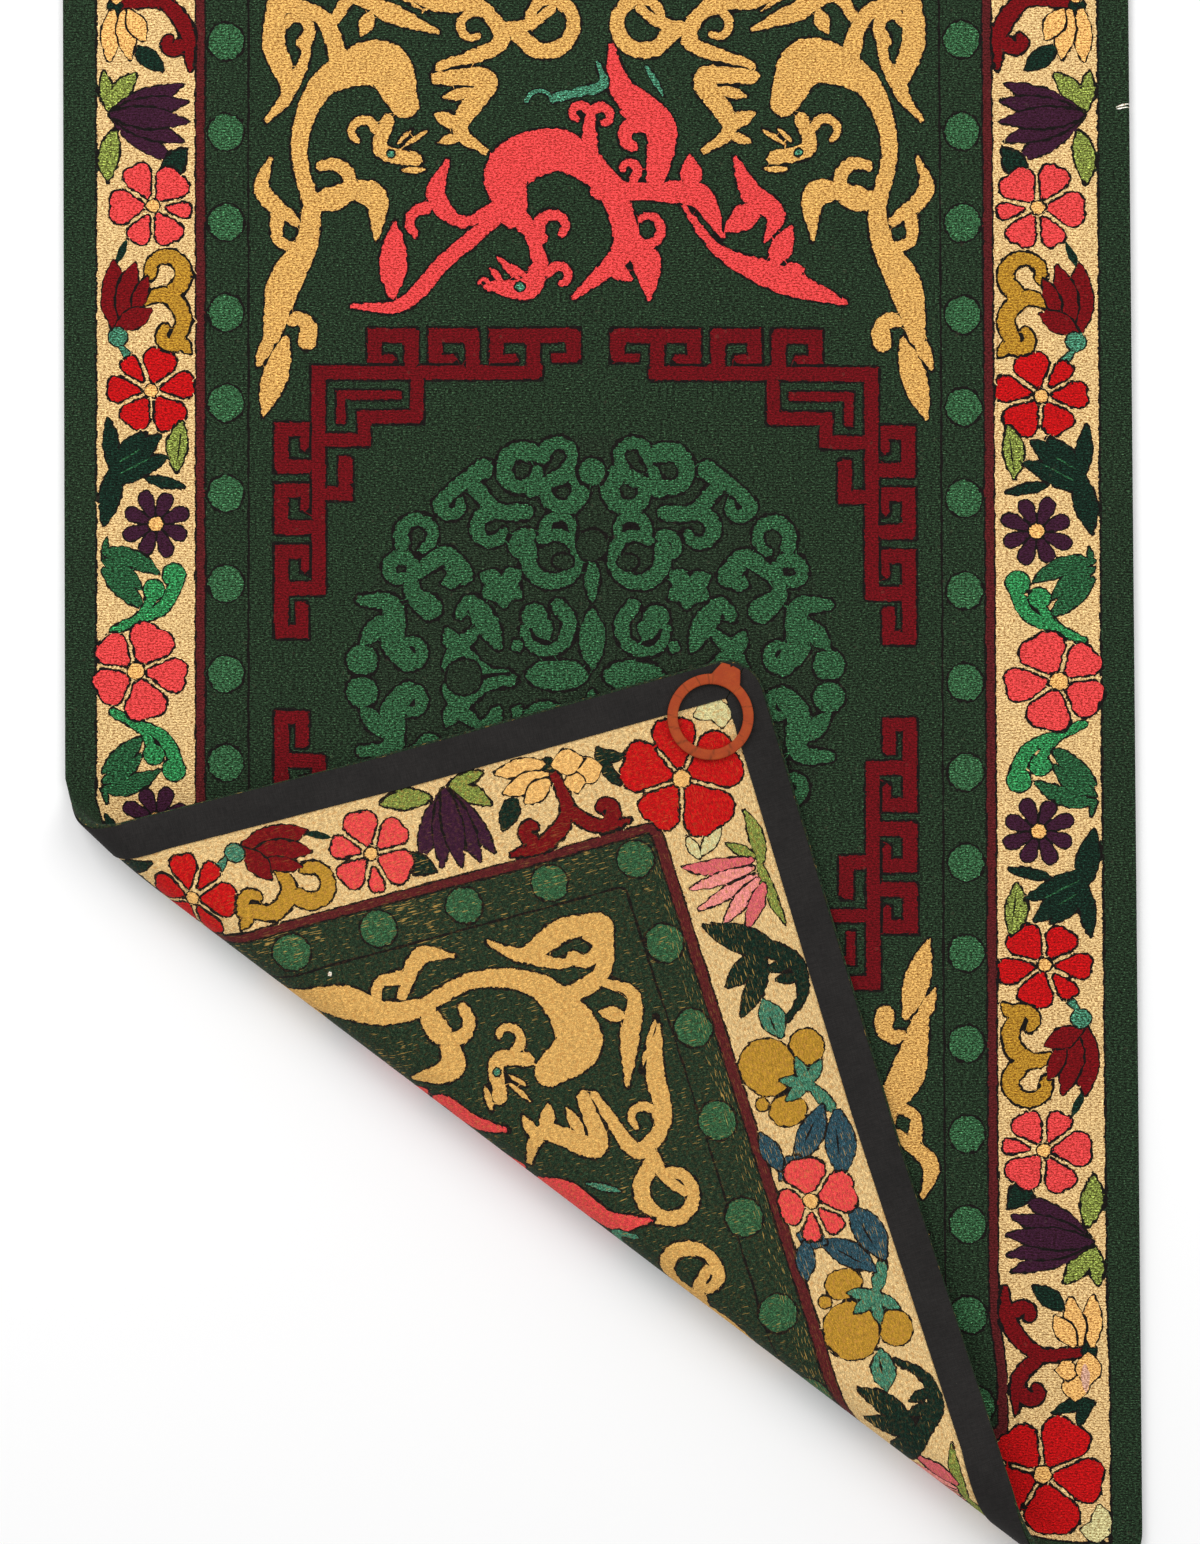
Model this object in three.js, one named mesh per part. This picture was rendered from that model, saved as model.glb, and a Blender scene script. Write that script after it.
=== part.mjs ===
// Hooked rug, lying flat with its lower left corner turned back over the front.
// Millimetres, +Z up. The length runs along Y, and the underside of the binding tape is at z = 0.
// The origin is the middle of the whole outline, on the ground.

import * as THREE from 'three';

// The rug as it would lie with no fold. The corners go round it anticlockwise, seen from above.
const corners = [
  { name: 'lower left', x: -460.5, y: -748.0 },
  { name: 'lower right', x: 465.0, y: -763.0 },
  { name: 'upper right', x: 451.0, y: 763.0 },
  { name: 'upper left', x: -465.0, y: 759.0 },
];
const cornerRadius = 34;
const cornerSteps = 6;

// The hooked sheet: foundation cloth and pile together.
const sheetThickness = 7;

// The binding tape on the back, set a little in from the edge and mitred at the corners.
const tape = { width: 31, thickness: 1, inset: 2, gap: 0.4 };

// The turned-back corner. The fold line's outer edge is fold.distance from the origin,
// on the side away from fold.towards, the direction in which the corner is carried over.
// The cloth goes round a roll, slopes down from it and levels out on the front of the rug.
const fold = {
  towards: 52.9,
  distance: 371.3,
  rollRadius: 26.5,
  rollSteps: 22,
  slope: 16,
  landingRadius: 150,
  landingSteps: 6,
  clearance: 1,
};

// At its upper end the roll is drawn in, because the bound edge creases more tightly.
const pinch = { depth: 7.3, reach: 52, end: -303 };

// Lines across the fold, measured along it from the origin, where the surface gets a row of points.
const crossLines = [-350, -303, -277, -251, -225, -190, -150, 0, 150, 300, 450, 620];

// The ring at the corner's tip, and the boss that holds it.
const ring = { x: 92.5, y: -25.4, outerRadius: 37, innerRadius: 28, thickness: 4.4, bevel: 0.8, gap: 0.3 };
const boss = {
  turn: 67.7,
  footHalfWidth: 13,
  headHalfWidth: 8.4,
  shoulder: 46.7,
  crown: 47.8,
  notchBottom: 45.8,
  notchHalfWidth: 1.2,
};
const roundSteps = 64;

const degree = Math.PI / 180;
const foldNormal = new THREE.Vector2(Math.cos(fold.towards * degree), Math.sin(fold.towards * degree));
const foldAlong = new THREE.Vector2(foldNormal.y, -foldNormal.x);

const tapeBottom = 0;
const sheetMiddle = tapeBottom + tape.thickness + tape.gap + sheetThickness / 2;
const flapRise = sheetThickness + fold.clearance;
const flapTop = sheetMiddle + flapRise + sheetThickness / 2;
const rollStart = -fold.distance + fold.rollRadius + sheetThickness / 2;

// The points of a convex outline on the side of a line that its normal points to.
function clip(points, linePoint, normal) {
  const kept = [];
  points.forEach((here, i) => {
    const next = points[(i + 1) % points.length];
    const a = here.clone().sub(linePoint).dot(normal);
    const b = next.clone().sub(linePoint).dot(normal);
    if (a >= 0) {
      kept.push(here);
    }
    if ((a > 0 && b < 0) || (a < 0 && b > 0)) {
      kept.push(here.clone().lerp(next, a / (a - b)));
    }
  });
  return kept;
}

// The part of a convex outline between two parallel lines, given by their distances along a direction.
function band(points, direction, low, high) {
  const above = clip(points, direction.clone().multiplyScalar(low), direction);
  const back = direction.clone().negate();
  return above.length < 3 ? [] : clip(above, direction.clone().multiplyScalar(high), back);
}

// The four sides of the rug as lines moved in from its edge, each with its inward normal.
function sides(inset) {
  return corners.map((corner, i) => {
    const next = corners[(i + 1) % corners.length];
    const run = new THREE.Vector2(next.x - corner.x, next.y - corner.y).normalize();
    const inward = new THREE.Vector2(-run.y, run.x);
    const point = new THREE.Vector2(corner.x, corner.y).addScaledVector(inward, inset);
    return { point, run, inward };
  });
}

// Where two side lines cross.
function crossing(first, second) {
  const offset = second.point.clone().sub(first.point);
  const distance = offset.cross(second.run) / first.run.cross(second.run);
  return first.point.clone().addScaledVector(first.run, distance);
}

// The rug's outline moved in from its edge, with its corners rounded.
function roundedOutline(inset) {
  const lines = sides(inset);
  const radius = cornerRadius - inset;
  const points = [];
  lines.forEach((line, i) => {
    const before = lines[(i + lines.length - 1) % lines.length];
    const tip = crossing(before, line);
    const halfAngle = (Math.PI - Math.acos(before.run.dot(line.run))) / 2;
    const toCentre = before.inward.clone().add(line.inward).normalize();
    const centre = tip.clone().addScaledVector(toCentre, radius / Math.sin(halfAngle));
    const start = Math.atan2(-before.inward.y, -before.inward.x);
    const sweep = Math.PI - 2 * halfAngle;
    for (let step = 0; step <= cornerSteps; step += 1) {
      const angle = start + (sweep * step) / cornerSteps;
      points.push(new THREE.Vector2(centre.x + radius * Math.cos(angle), centre.y + radius * Math.sin(angle)));
    }
  });
  return points;
}

// One strip of tape: the edge of the outline along one side, cut at the mitres with a small gap.
function tapeOutline(side) {
  const outer = sides(tape.inset);
  const inner = sides(tape.inset + tape.width);
  const count = corners.length;
  const before = (side + count - 1) % count;
  const after = (side + 1) % count;
  const start = crossing(inner[before], inner[side]);
  const end = crossing(inner[side], inner[after]);
  const startMitre = start.clone().sub(crossing(outer[before], outer[side])).normalize();
  const endMitre = crossing(outer[side], outer[after]).sub(end).normalize();
  const startNormal = new THREE.Vector2(startMitre.y, -startMitre.x);
  const endNormal = new THREE.Vector2(endMitre.y, -endMitre.x).negate();
  startNormal.multiplyScalar(Math.sign(startNormal.dot(inner[side].run)));
  endNormal.multiplyScalar(-Math.sign(endNormal.dot(inner[side].run)));
  let points = roundedOutline(tape.inset);
  points = clip(points, inner[side].point, inner[side].inward.clone().negate());
  points = clip(points, start.clone().addScaledVector(startNormal, tape.gap), startNormal);
  return clip(points, end.clone().addScaledVector(endNormal, tape.gap), endNormal);
}

// How the cloth runs past the start of the roll: its place along the fold's direction, its height
// and the way its front faces, for a length of cloth measured from the start of the roll.
const slopeAngle = fold.slope * degree;
const rollEnd = Math.PI + slopeAngle;
const rollDrop = fold.rollRadius * (1 + Math.cos(slopeAngle));
const landingDrop = fold.landingRadius * (1 - Math.cos(slopeAngle));
const rollLength = fold.rollRadius * rollEnd;
const slopeLength = (rollDrop - landingDrop - flapRise) / Math.sin(slopeAngle);
const landingLength = fold.landingRadius * slopeAngle;

function foldProfile(length) {
  const onRoll = Math.min(Math.max(length, 0), rollLength);
  const onSlope = Math.min(Math.max(length - rollLength, 0), slopeLength);
  const onLanding = Math.min(Math.max(length - rollLength - slopeLength, 0), landingLength);
  const beyond = Math.max(length - rollLength - slopeLength - landingLength, 0);
  const before = Math.min(length, 0);
  const turned = onRoll / fold.rollRadius;
  const angle = turned - onLanding / fold.landingRadius;
  const landed = onLanding > 0 ? 1 : 0;
  const landingRun = landed * fold.landingRadius * (Math.sin(slopeAngle) - Math.sin(angle - Math.PI));
  const landingFall = landed * fold.landingRadius * (Math.cos(angle - Math.PI) - Math.cos(slopeAngle));
  const along = -before - fold.rollRadius * Math.sin(turned) + onSlope * Math.cos(slopeAngle) + landingRun + beyond;
  const fall = onSlope * Math.sin(slopeAngle) + landingFall;
  const height = fold.rollRadius * (1 - Math.cos(turned)) - fall;
  return { along, height, frontAlong: Math.sin(angle), frontUp: Math.cos(angle), turned };
}

// A flat point of the rug, offset from the middle of its thickness, carried to where it lies.
function place(flat, offset) {
  const across = flat.dot(foldAlong);
  const profile = foldProfile(rollStart - flat.dot(foldNormal));
  const side = Math.max(Math.sin(Math.min(profile.turned, Math.PI)), 0);
  const drawnIn = side * pinch.depth * Math.exp(-(((across - pinch.end) / pinch.reach) ** 2));
  const along = rollStart + profile.along + drawnIn + offset * profile.frontAlong;
  const plan = foldAlong.clone().multiplyScalar(across).addScaledVector(foldNormal, along);
  return [plan.x, plan.y, sheetMiddle + profile.height + offset * profile.frontUp];
}

// The distances along the fold's direction at which the surface turns, from the tip to the far corner.
function turnLines() {
  const lengths = [-2000];
  for (let step = 0; step <= fold.rollSteps; step += 1) {
    lengths.push((rollLength * step) / fold.rollSteps);
  }
  for (let step = 0; step <= fold.landingSteps; step += 1) {
    lengths.push(rollLength + slopeLength + (landingLength * step) / fold.landingSteps);
  }
  lengths.push(2000);
  return lengths.map((length) => rollStart - length).reverse();
}

// A closed sheet with a flat convex outline, between two offsets from the middle of the rug,
// laid in its folded shape. The outline is cut into cells where the surface turns, so that each
// cell stays plain, and cells share the corners on their common sides.
function foldedSheet(outline, lowOffset, highOffset) {
  const flatPoints = [];
  const numbers = new Map();
  const number = (point) => {
    const key = `${Math.round(point.x * 1000)},${Math.round(point.y * 1000)}`;
    if (!numbers.has(key)) {
      numbers.set(key, flatPoints.length);
      flatPoints.push(point);
    }
    return numbers.get(key);
  };
  const turns = turnLines();
  const crossings = [-2000, ...crossLines, 2000];
  const triangles = [];
  const edges = new Map();
  for (let i = 0; i + 1 < turns.length; i += 1) {
    const strip = band(outline, foldNormal, turns[i], turns[i + 1]);
    for (let j = 0; strip.length > 2 && j + 1 < crossings.length; j += 1) {
      const cell = band(strip, foldAlong, crossings[j], crossings[j + 1]);
      const ids = cell.map(number).filter((id, k, all) => id !== all[(k + 1) % all.length]);
      for (let k = 1; k + 1 < ids.length; k += 1) {
        triangles.push([ids[0], ids[k], ids[k + 1]]);
      }
      if (ids.length > 2) {
        ids.forEach((id, k) => edges.set(`${id},${ids[(k + 1) % ids.length]}`, [id, ids[(k + 1) % ids.length]]));
      }
    }
  }
  const count = flatPoints.length;
  const positions = [lowOffset, highOffset].flatMap((offset) => flatPoints.flatMap((p) => place(p, offset)));
  const index = [];
  triangles.forEach(([a, b, c]) => index.push(a, c, b, a + count, b + count, c + count));
  edges.forEach(([a, b]) => {
    if (!edges.has(`${b},${a}`)) {
      index.push(a, b, b + count, a, b + count, a + count);
    }
  });
  const geometry = new THREE.BufferGeometry();
  geometry.setAttribute('position', new THREE.Float32BufferAttribute(positions, 3));
  geometry.setIndex(index);
  geometry.computeVertexNormals();
  return geometry;
}

// The ring and its boss are one piece: a flat hoop whose rim rises to a boss with a notched crown.
// The outline is drawn inside its true edge by the bevel, which the extrusion adds again.
function ringGeometry() {
  const rim = ring.outerRadius - ring.bevel;
  const foot = boss.footHalfWidth - ring.bevel;
  const head = boss.headHalfWidth - ring.bevel;
  const footTurn = Math.asin(foot / rim);
  const outline = new THREE.Shape();
  outline.moveTo(-foot, rim * Math.cos(footTurn));
  outline.absarc(0, 0, rim, Math.PI / 2 + footTurn, Math.PI / 2 - footTurn + 2 * Math.PI, false);
  outline.lineTo(head, boss.shoulder - ring.bevel);
  outline.lineTo(boss.notchHalfWidth, boss.crown - ring.bevel);
  outline.lineTo(0, boss.notchBottom - ring.bevel);
  outline.lineTo(-boss.notchHalfWidth, boss.crown - ring.bevel);
  outline.lineTo(-head, boss.shoulder - ring.bevel);
  outline.closePath();
  const hole = new THREE.Path();
  hole.absarc(0, 0, ring.innerRadius + ring.bevel, 0, 2 * Math.PI, true);
  outline.holes.push(hole);
  return new THREE.ExtrudeGeometry(outline, {
    depth: ring.thickness - 2 * ring.bevel,
    bevelEnabled: true,
    bevelThickness: ring.bevel,
    bevelSize: ring.bevel,
    bevelSegments: 2,
    curveSegments: roundSteps,
  });
}

const wool = new THREE.MeshStandardMaterial({ color: 0x263b2a, roughness: 0.95, metalness: 0 });
const cottonTape = new THREE.MeshStandardMaterial({ color: 0x2e2c2c, roughness: 0.9, metalness: 0 });
const ringWood = new THREE.MeshStandardMaterial({ color: 0xc8532a, roughness: 0.5, metalness: 0 });

function named(name, geometry, material) {
  const mesh = new THREE.Mesh(geometry, material);
  mesh.name = name;
  return mesh;
}

const rug = new THREE.Group();
rug.add(named('rug', foldedSheet(roundedOutline(0), -sheetThickness / 2, sheetThickness / 2), wool));

const tapeNames = ['tape_bottom', 'tape_right', 'tape_top', 'tape_left'];
const tapeTop = -sheetThickness / 2 - tape.gap;
tapeNames.forEach((name, side) => {
  rug.add(named(name, foldedSheet(tapeOutline(side), tapeTop - tape.thickness, tapeTop), cottonTape));
});

const ringMesh = named('ring', ringGeometry(), ringWood);
ringMesh.position.set(ring.x, ring.y, flapTop + tape.gap + tape.thickness + ring.gap + ring.bevel);
ringMesh.rotation.z = (boss.turn - 90) * degree;
rug.add(ringMesh);

export default rug;
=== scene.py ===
"""A hooked wool rug, face up, with its lower left corner turned over to show the back.

The design is charted once for the upper left quarter and laid four times, each time with the small
stretches of a hand-hooked rug. The chart is then cut into a mesh whose faces each carry one yarn, and
that mesh is folded over the same roll as the CAD model.
"""

import logging
import math
from dataclasses import dataclass
from enum import Enum
from functools import lru_cache
from typing import Callable, Sequence

import bpy
import numpy as np
from mathutils.geometry import delaunay_2d_cdt
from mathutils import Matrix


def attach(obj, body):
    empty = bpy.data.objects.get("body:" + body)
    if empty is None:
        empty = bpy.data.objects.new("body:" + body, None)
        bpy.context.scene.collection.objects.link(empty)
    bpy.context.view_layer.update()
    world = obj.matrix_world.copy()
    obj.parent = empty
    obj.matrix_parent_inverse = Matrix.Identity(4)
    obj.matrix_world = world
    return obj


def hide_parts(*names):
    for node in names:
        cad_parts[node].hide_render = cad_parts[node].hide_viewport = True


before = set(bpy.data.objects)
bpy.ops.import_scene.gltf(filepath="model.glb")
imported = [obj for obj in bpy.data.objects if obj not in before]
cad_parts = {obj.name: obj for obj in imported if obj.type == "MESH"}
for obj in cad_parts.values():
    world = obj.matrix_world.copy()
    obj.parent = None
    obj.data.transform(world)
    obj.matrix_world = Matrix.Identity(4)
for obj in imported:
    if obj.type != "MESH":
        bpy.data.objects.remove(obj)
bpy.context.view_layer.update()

logging.basicConfig(level=logging.INFO, format="%(message)s")
log = logging.getLogger("rug")

MM = 0.001
Points = Sequence[tuple[float, ...]]
Place = Callable[[np.ndarray], np.ndarray]
Signal = bpy.types.NodeSocket | float | tuple | None


class Yarn(Enum):
    """The dyed wools, with their colours as sRGB hexadecimal values."""

    GROUND = "1B2B1B"
    SHADOW = "1B281A"
    BLACK = "120E0C"
    CREAM = "D2B27B"
    GOLD = "CB9E57"
    CORAL = "D44040"
    RED = "B2090C"
    CRIMSON = "60060E"
    MAROON = "501719"
    BUD = "6A060C"
    OCHRE = "A97E26"
    PURPLE = "341429"
    LEAF = "707C37"
    TEAL = "386D55"
    CLAW = "0A2016"
    FERN = "1F4A2C"
    STEM = "27703F"
    MID_GREEN = "264B2F"
    DISC_GREEN = "2A5032"
    SLATE = "22404A"
    ROSE = "C85A60"
    PINK = "DE8680"
    PALE = "C8C08A"
    APRICOT = "E0AE66"
    WHITE = "E6E4D6"
    FADED = "CBA08A"

    @property
    def linear(self) -> tuple[float, float, float]:
        """The colour in linear light, as a mesh attribute holds it."""
        return linear(self.value)


def linear(code: str) -> tuple[float, float, float]:
    """Turns an sRGB hexadecimal colour into linear light."""
    values = [int(code[i : i + 2], 16) / 255 for i in (0, 2, 4)]
    return tuple(v / 12.92 if v <= 0.04045 else ((v + 0.055) / 1.055) ** 2.4 for v in values)


# The chart

SQUARE = 0.86 * MM
CHART_CENTRE = (602.5, 687.5)
AXIS = 595.5
HALF_WIDTH = 531.0
MIDDLE = 680.0
MIDDLE_SLOPE = 9.0
MAROON_AT = 400.0
END_REACH = 876.0
SHORT_END = 0.886
TURNED_SHIFT = (5, -15)
LINE = 3.2
FINE_LINE = 2.6
CREEP_ROOM = 0.9
STEP = 4.5
FINE_STEP = 3.2
FRAME_STEP = 8.0
HIDDEN_STEP = 2.3
RAGGED = 1.0
FINE_RAGGED = 0.5


def chart_to_flat(points: np.ndarray) -> np.ndarray:
    """Turns chart squares, counted rightwards and downwards, into metres on the flat rug."""
    across = (points[:, 0] - CHART_CENTRE[0]) * SQUARE
    up = (CHART_CENTRE[1] - points[:, 1]) * SQUARE
    return np.column_stack((across, up))


def flat_to_chart(flat: np.ndarray) -> np.ndarray:
    """Turns metres on the flat rug into chart squares."""
    return np.column_stack((CHART_CENTRE[0] + flat[:, 0] / SQUARE, CHART_CENTRE[1] - flat[:, 1] / SQUARE))


@dataclass(frozen=True)
class Quarter:
    """One quarter of the rug, and how the hooking stretched the chart there.

    Args:
        right: whether the quarter is on the right.
        bottom: whether it is in the lower half.
        along: stretch from the middle line towards the end, at each of ALONG_SHARES.
        tilt: how far the middle line drops at the side, in squares.
        inner: growth of the field's width towards the end.
        outer: stretch of the border across, and its growth towards the end.
        pull: sideways shift in the end border, at each of SHARES from the axis to the side.
        field_pull: how much of that shift the field and the side border take.
    """

    right: bool
    bottom: bool
    along: tuple[float, float, float]
    tilt: float
    inner: float = 0.0
    outer: tuple[float, float] = (1.0, 0.0)
    pull: tuple[float, ...] = (0.0, 0.0, 0.0, 0.0, 0.0)
    field_pull: float = 0.0

    ALONG_SHARES = (0.0, 0.35, 0.75)
    SHARES = (0.0, 0.2, 0.45, 0.8, 1.0)

    def place(self, points: np.ndarray) -> np.ndarray:
        """Moves chart points of the upper left quarter to where this quarter has them.

        The distance from the middle line is scaled, and above the chart's first row the upper
        quarters are drawn in to the shorter end.
        """
        across = AXIS - points[:, 0]
        share = across / HALF_WIDTH
        chart_middle = MIDDLE - MIDDLE_SLOPE * share
        along = np.interp(share, self.ALONG_SHARES, self.along)
        out = (chart_middle - points[:, 1]) * along
        if not self.bottom:
            limit = chart_middle * along
            out = np.where(out > limit, limit + (out - limit) * SHORT_END, out)
        end = out / END_REACH
        inside = np.minimum(across, MAROON_AT) * (1 + self.inner * end)
        beyond = np.maximum(across - MAROON_AT, 0) * (self.outer[0] + self.outer[1] * end)
        across = inside + beyond
        x = AXIS + across if self.right else AXIS - across
        early = self.field_pull * ease(out, 120, 350)
        x = x + np.interp(share, self.SHARES, self.pull) * np.maximum(early, ease(out, 620, 700))
        middle = MIDDLE + self.tilt * share
        y = middle + out if self.bottom else middle - out
        return np.column_stack((x, y))


def ease(value: np.ndarray, low: float, high: float) -> np.ndarray:
    """Rises smoothly from 0 at low to 1 at high."""
    share = np.clip((value - low) / (high - low), 0, 1)
    return share * share * (3 - 2 * share)


UPPER_LEFT = Quarter(False, False, (1.0, 1.0, 1.0), -9.0)
UPPER_RIGHT = Quarter(True, False, (1.0, 1.0105, 1.018), 3.0, -0.0136, (1.065, 0.003))
LOWER_LEFT = Quarter(False, True, (0.984, 0.99, 0.99), -9.0, 0.0, (1.0, 0.0), (17, 14.5, 11.5, 7.5, 5), 1.0)
LOWER_RIGHT = Quarter(True, True, (0.984, 0.99, 1.003), 3.0, 0.0115, (1.065, 0.035), (15, 9, 10, 8, 0))
QUARTERS = (UPPER_LEFT, UPPER_RIGHT, LOWER_LEFT, LOWER_RIGHT)


def keep(points: np.ndarray) -> np.ndarray:
    """Leaves chart points where they are."""
    return points


def turned(points: np.ndarray) -> np.ndarray:
    """Turns the chart points of one end half round to the other, a little higher, as they were hooked."""
    across, down = TURNED_SHIFT
    return np.column_stack((2 * AXIS + across - points[:, 0], 2 * MIDDLE + down - points[:, 1]))


def spline(points: np.ndarray, closed: bool) -> np.ndarray:
    """A smooth curve through points, by cubics whose slopes are weighted by the chords beside them."""
    ring = np.vstack((points, points[:1])) if closed else points
    chords = np.maximum(np.hypot(*np.diff(ring[:, :2], axis=0).T), 1e-6)
    slopes = np.diff(ring, axis=0) / chords[:, None]
    if closed:
        before = np.roll(slopes, 1, axis=0)
        long_before = np.roll(chords, 1)
        weighted = before * chords[:, None] + slopes * long_before[:, None]
        tangents = weighted / (chords + long_before)[:, None]
        tangents = np.vstack((tangents, tangents[:1]))
    else:
        weighted = slopes[:-1] * chords[1:, None] + slopes[1:] * chords[:-1, None]
        inner = weighted / (chords[1:] + chords[:-1])[:, None]
        tangents = np.vstack((slopes[:1], inner, slopes[-1:]))
    pieces = []
    for i, chord in enumerate(chords):
        steps = max(2, math.ceil(chord / 2.0))
        t = np.linspace(0, 1, steps, endpoint=False)[:, None]
        start = ring[i] * (1 + 2 * t) * (1 - t) ** 2 + tangents[i] * chord * t * (1 - t) ** 2
        end = ring[i + 1] * t * t * (3 - 2 * t) + tangents[i + 1] * chord * t * t * (t - 1)
        pieces.append(start + end)
    if not closed:
        pieces.append(ring[-1:])
    return np.vstack(pieces)


def resample(outline: np.ndarray, step: float) -> np.ndarray:
    """Spaces the points of a closed outline evenly."""
    ring = np.vstack((outline, outline[:1]))
    lengths = np.concatenate(([0], np.cumsum(np.hypot(*np.diff(ring, axis=0).T))))
    count = max(6, round(lengths[-1] / step))
    at = np.linspace(0, lengths[-1], count, endpoint=False)
    return np.column_stack((np.interp(at, lengths, ring[:, 0]), np.interp(at, lengths, ring[:, 1])))


def outward(outline: np.ndarray) -> np.ndarray:
    """Unit normals that point out of a closed outline, whichever way it runs."""
    run = np.roll(outline, -1, axis=0) - np.roll(outline, 1, axis=0)
    run /= np.maximum(np.hypot(*run.T), 1e-9)[:, None]
    after = np.roll(outline, -1, axis=0)
    area = np.sum(outline[:, 0] * after[:, 1] - after[:, 0] * outline[:, 1])
    return np.column_stack((run[:, 1], -run[:, 0])) * math.copysign(1.0, area)


@dataclass(frozen=True)
class Stroke:
    """A band of loops along a curve, with rounded ends.

    Args:
        points: across, down and width at each point of the curve, in squares.
    """

    points: Points

    def outline(self, grow: float) -> np.ndarray:
        """The band's outline, made wider all round by grow squares."""
        line = spline(np.array(self.points, float), False)
        run = np.gradient(line[:, :2], axis=0)
        run /= np.maximum(np.hypot(*run.T), 1e-9)[:, None]
        side = np.column_stack((-run[:, 1], run[:, 0]))
        half = (np.maximum(line[:, 2:3], 0.6) / 2) + grow
        turn = np.linspace(0, math.pi, 6)[1:-1, None]
        end = line[-1, :2] + half[-1] * (np.cos(turn) * side[-1] + np.sin(turn) * run[-1])
        start = line[0, :2] - half[0] * (np.cos(turn) * side[0] + np.sin(turn) * run[0])
        return np.vstack((line[:, :2] + side * half, end, (line[:, :2] - side * half)[::-1], start))


@dataclass(frozen=True)
class Patch:
    """A filled shape with a smooth outline. A point given twice in a row is a sharp corner.

    Args:
        points: across and down of each point of the outline, in squares.
    """

    points: Points

    def outline(self, grow: float) -> np.ndarray:
        """The shape's outline, moved outwards by grow squares."""
        points = np.array(self.points, float)
        sharp = np.flatnonzero(np.all(points == np.roll(points, -1, axis=0), axis=1))
        if len(sharp) == 0:
            line = spline(points, True)
        else:
            points = np.roll(points, -(sharp[0] + 1), axis=0)
            cuts = np.flatnonzero(np.all(points == np.roll(points, -1, axis=0), axis=1))
            starts = np.concatenate(([0], cuts[:-1] + 1))
            line = np.vstack([spline(points[a : b + 1], False)[:-1] for a, b in zip(starts, cuts)])
        return line + outward(line) * grow if grow else line


@dataclass(frozen=True)
class Blocks:
    """Straight-sided figure made of upright rectangles that run together.

    Args:
        boxes: left, top, right and bottom of each rectangle, in squares.
    """

    boxes: Points

    def outlines(self, grow: float) -> list[np.ndarray]:
        """The outline of each rectangle, made wider all round by grow squares."""
        found = []
        for left, top, right, bottom in self.boxes:
            low = np.array((left - grow, top - grow))
            high = np.array((right + grow, bottom + grow))
            found.append(np.array((low, (high[0], low[1]), high, (low[0], high[1]))))
        return found


Shape = Stroke | Patch | Blocks


@lru_cache(maxsize=None)
def outlines_of(part: Shape, grow: float) -> list[np.ndarray]:
    """The outlines of one shape, kept for the quarters that use it again."""
    found = part.outlines(grow) if isinstance(part, Blocks) else [part.outline(grow)]
    return [resample(outline, 2.0) for outline in found]


def disc(x: float, y: float, radius: float, flat: float = 1.0) -> Patch:
    """A round spot, drawn as eight points; flat squeezes it across."""
    turns = [k * math.pi / 4 for k in range(8)]
    return Patch(tuple((x + radius * flat * math.cos(t), y + radius * math.sin(t)) for t in turns))


def petal(
    x: float, y: float, turn: float, inner: float, outer: float, spread: float, notch: float = 0.0
) -> Patch:
    """One petal of a flower seen from the front.

    Args:
        x: the flower's centre across, in squares.
        y: the flower's centre down, in squares.
        turn: direction of the petal in degrees, from rightwards towards downwards.
        inner: distance from the centre to the petal's foot.
        outer: distance from the centre to its tip.
        spread: its greatest width.
        notch: how deep its tip is drawn in.
    """
    half = spread / 2
    length = outer - inner
    profile = (
        (inner, -0.28 * half),
        (inner + 0.42 * length, -0.82 * half),
        (inner + 0.78 * length, -half),
        (outer - 0.04 * length, -0.55 * half),
        (outer - notch, 0.0),
        (outer, 0.5 * half),
        (inner + 0.8 * length, 0.98 * half),
        (inner + 0.4 * length, 0.76 * half),
        (inner, 0.28 * half),
    )
    cos, sin = math.cos(math.radians(turn)), math.sin(math.radians(turn))
    return Patch(tuple((x + a * cos - b * sin, y + a * sin + b * cos) for a, b in profile))


def leaf(x0: float, y0: float, x1: float, y1: float, width: float, bow: float = 0.0) -> Stroke:
    """A pointed leaf from its foot to its tip; bow pushes its middle to one side."""
    dx, dy = x1 - x0, y1 - y0
    length = math.hypot(dx, dy)
    nx, ny = -dy / length, dx / length
    rows = ((0.0, 0.25), (0.25, 0.85), (0.5, 1.0), (0.75, 0.7), (1.0, 0.04))
    points = []
    for share, wide in rows:
        push = bow * 4 * share * (1 - share)
        points.append((x0 + dx * share + nx * push, y0 + dy * share + ny * push, width * wide))
    return Stroke(tuple(points))


@dataclass(frozen=True)
class Motif:
    """Shapes hooked in one yarn, with a dark line round them.

    Args:
        yarn: the yarn of the shapes.
        parts: the shapes.
        line: width of the dark line, in squares; 0 leaves it out.
        apart: whether each shape keeps its own dark line over the shapes before it.
        line_yarn: the yarn of the line.
    """

    yarn: Yarn
    parts: tuple
    line: float = LINE
    apart: bool = False
    line_yarn: Yarn = Yarn.BLACK


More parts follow.
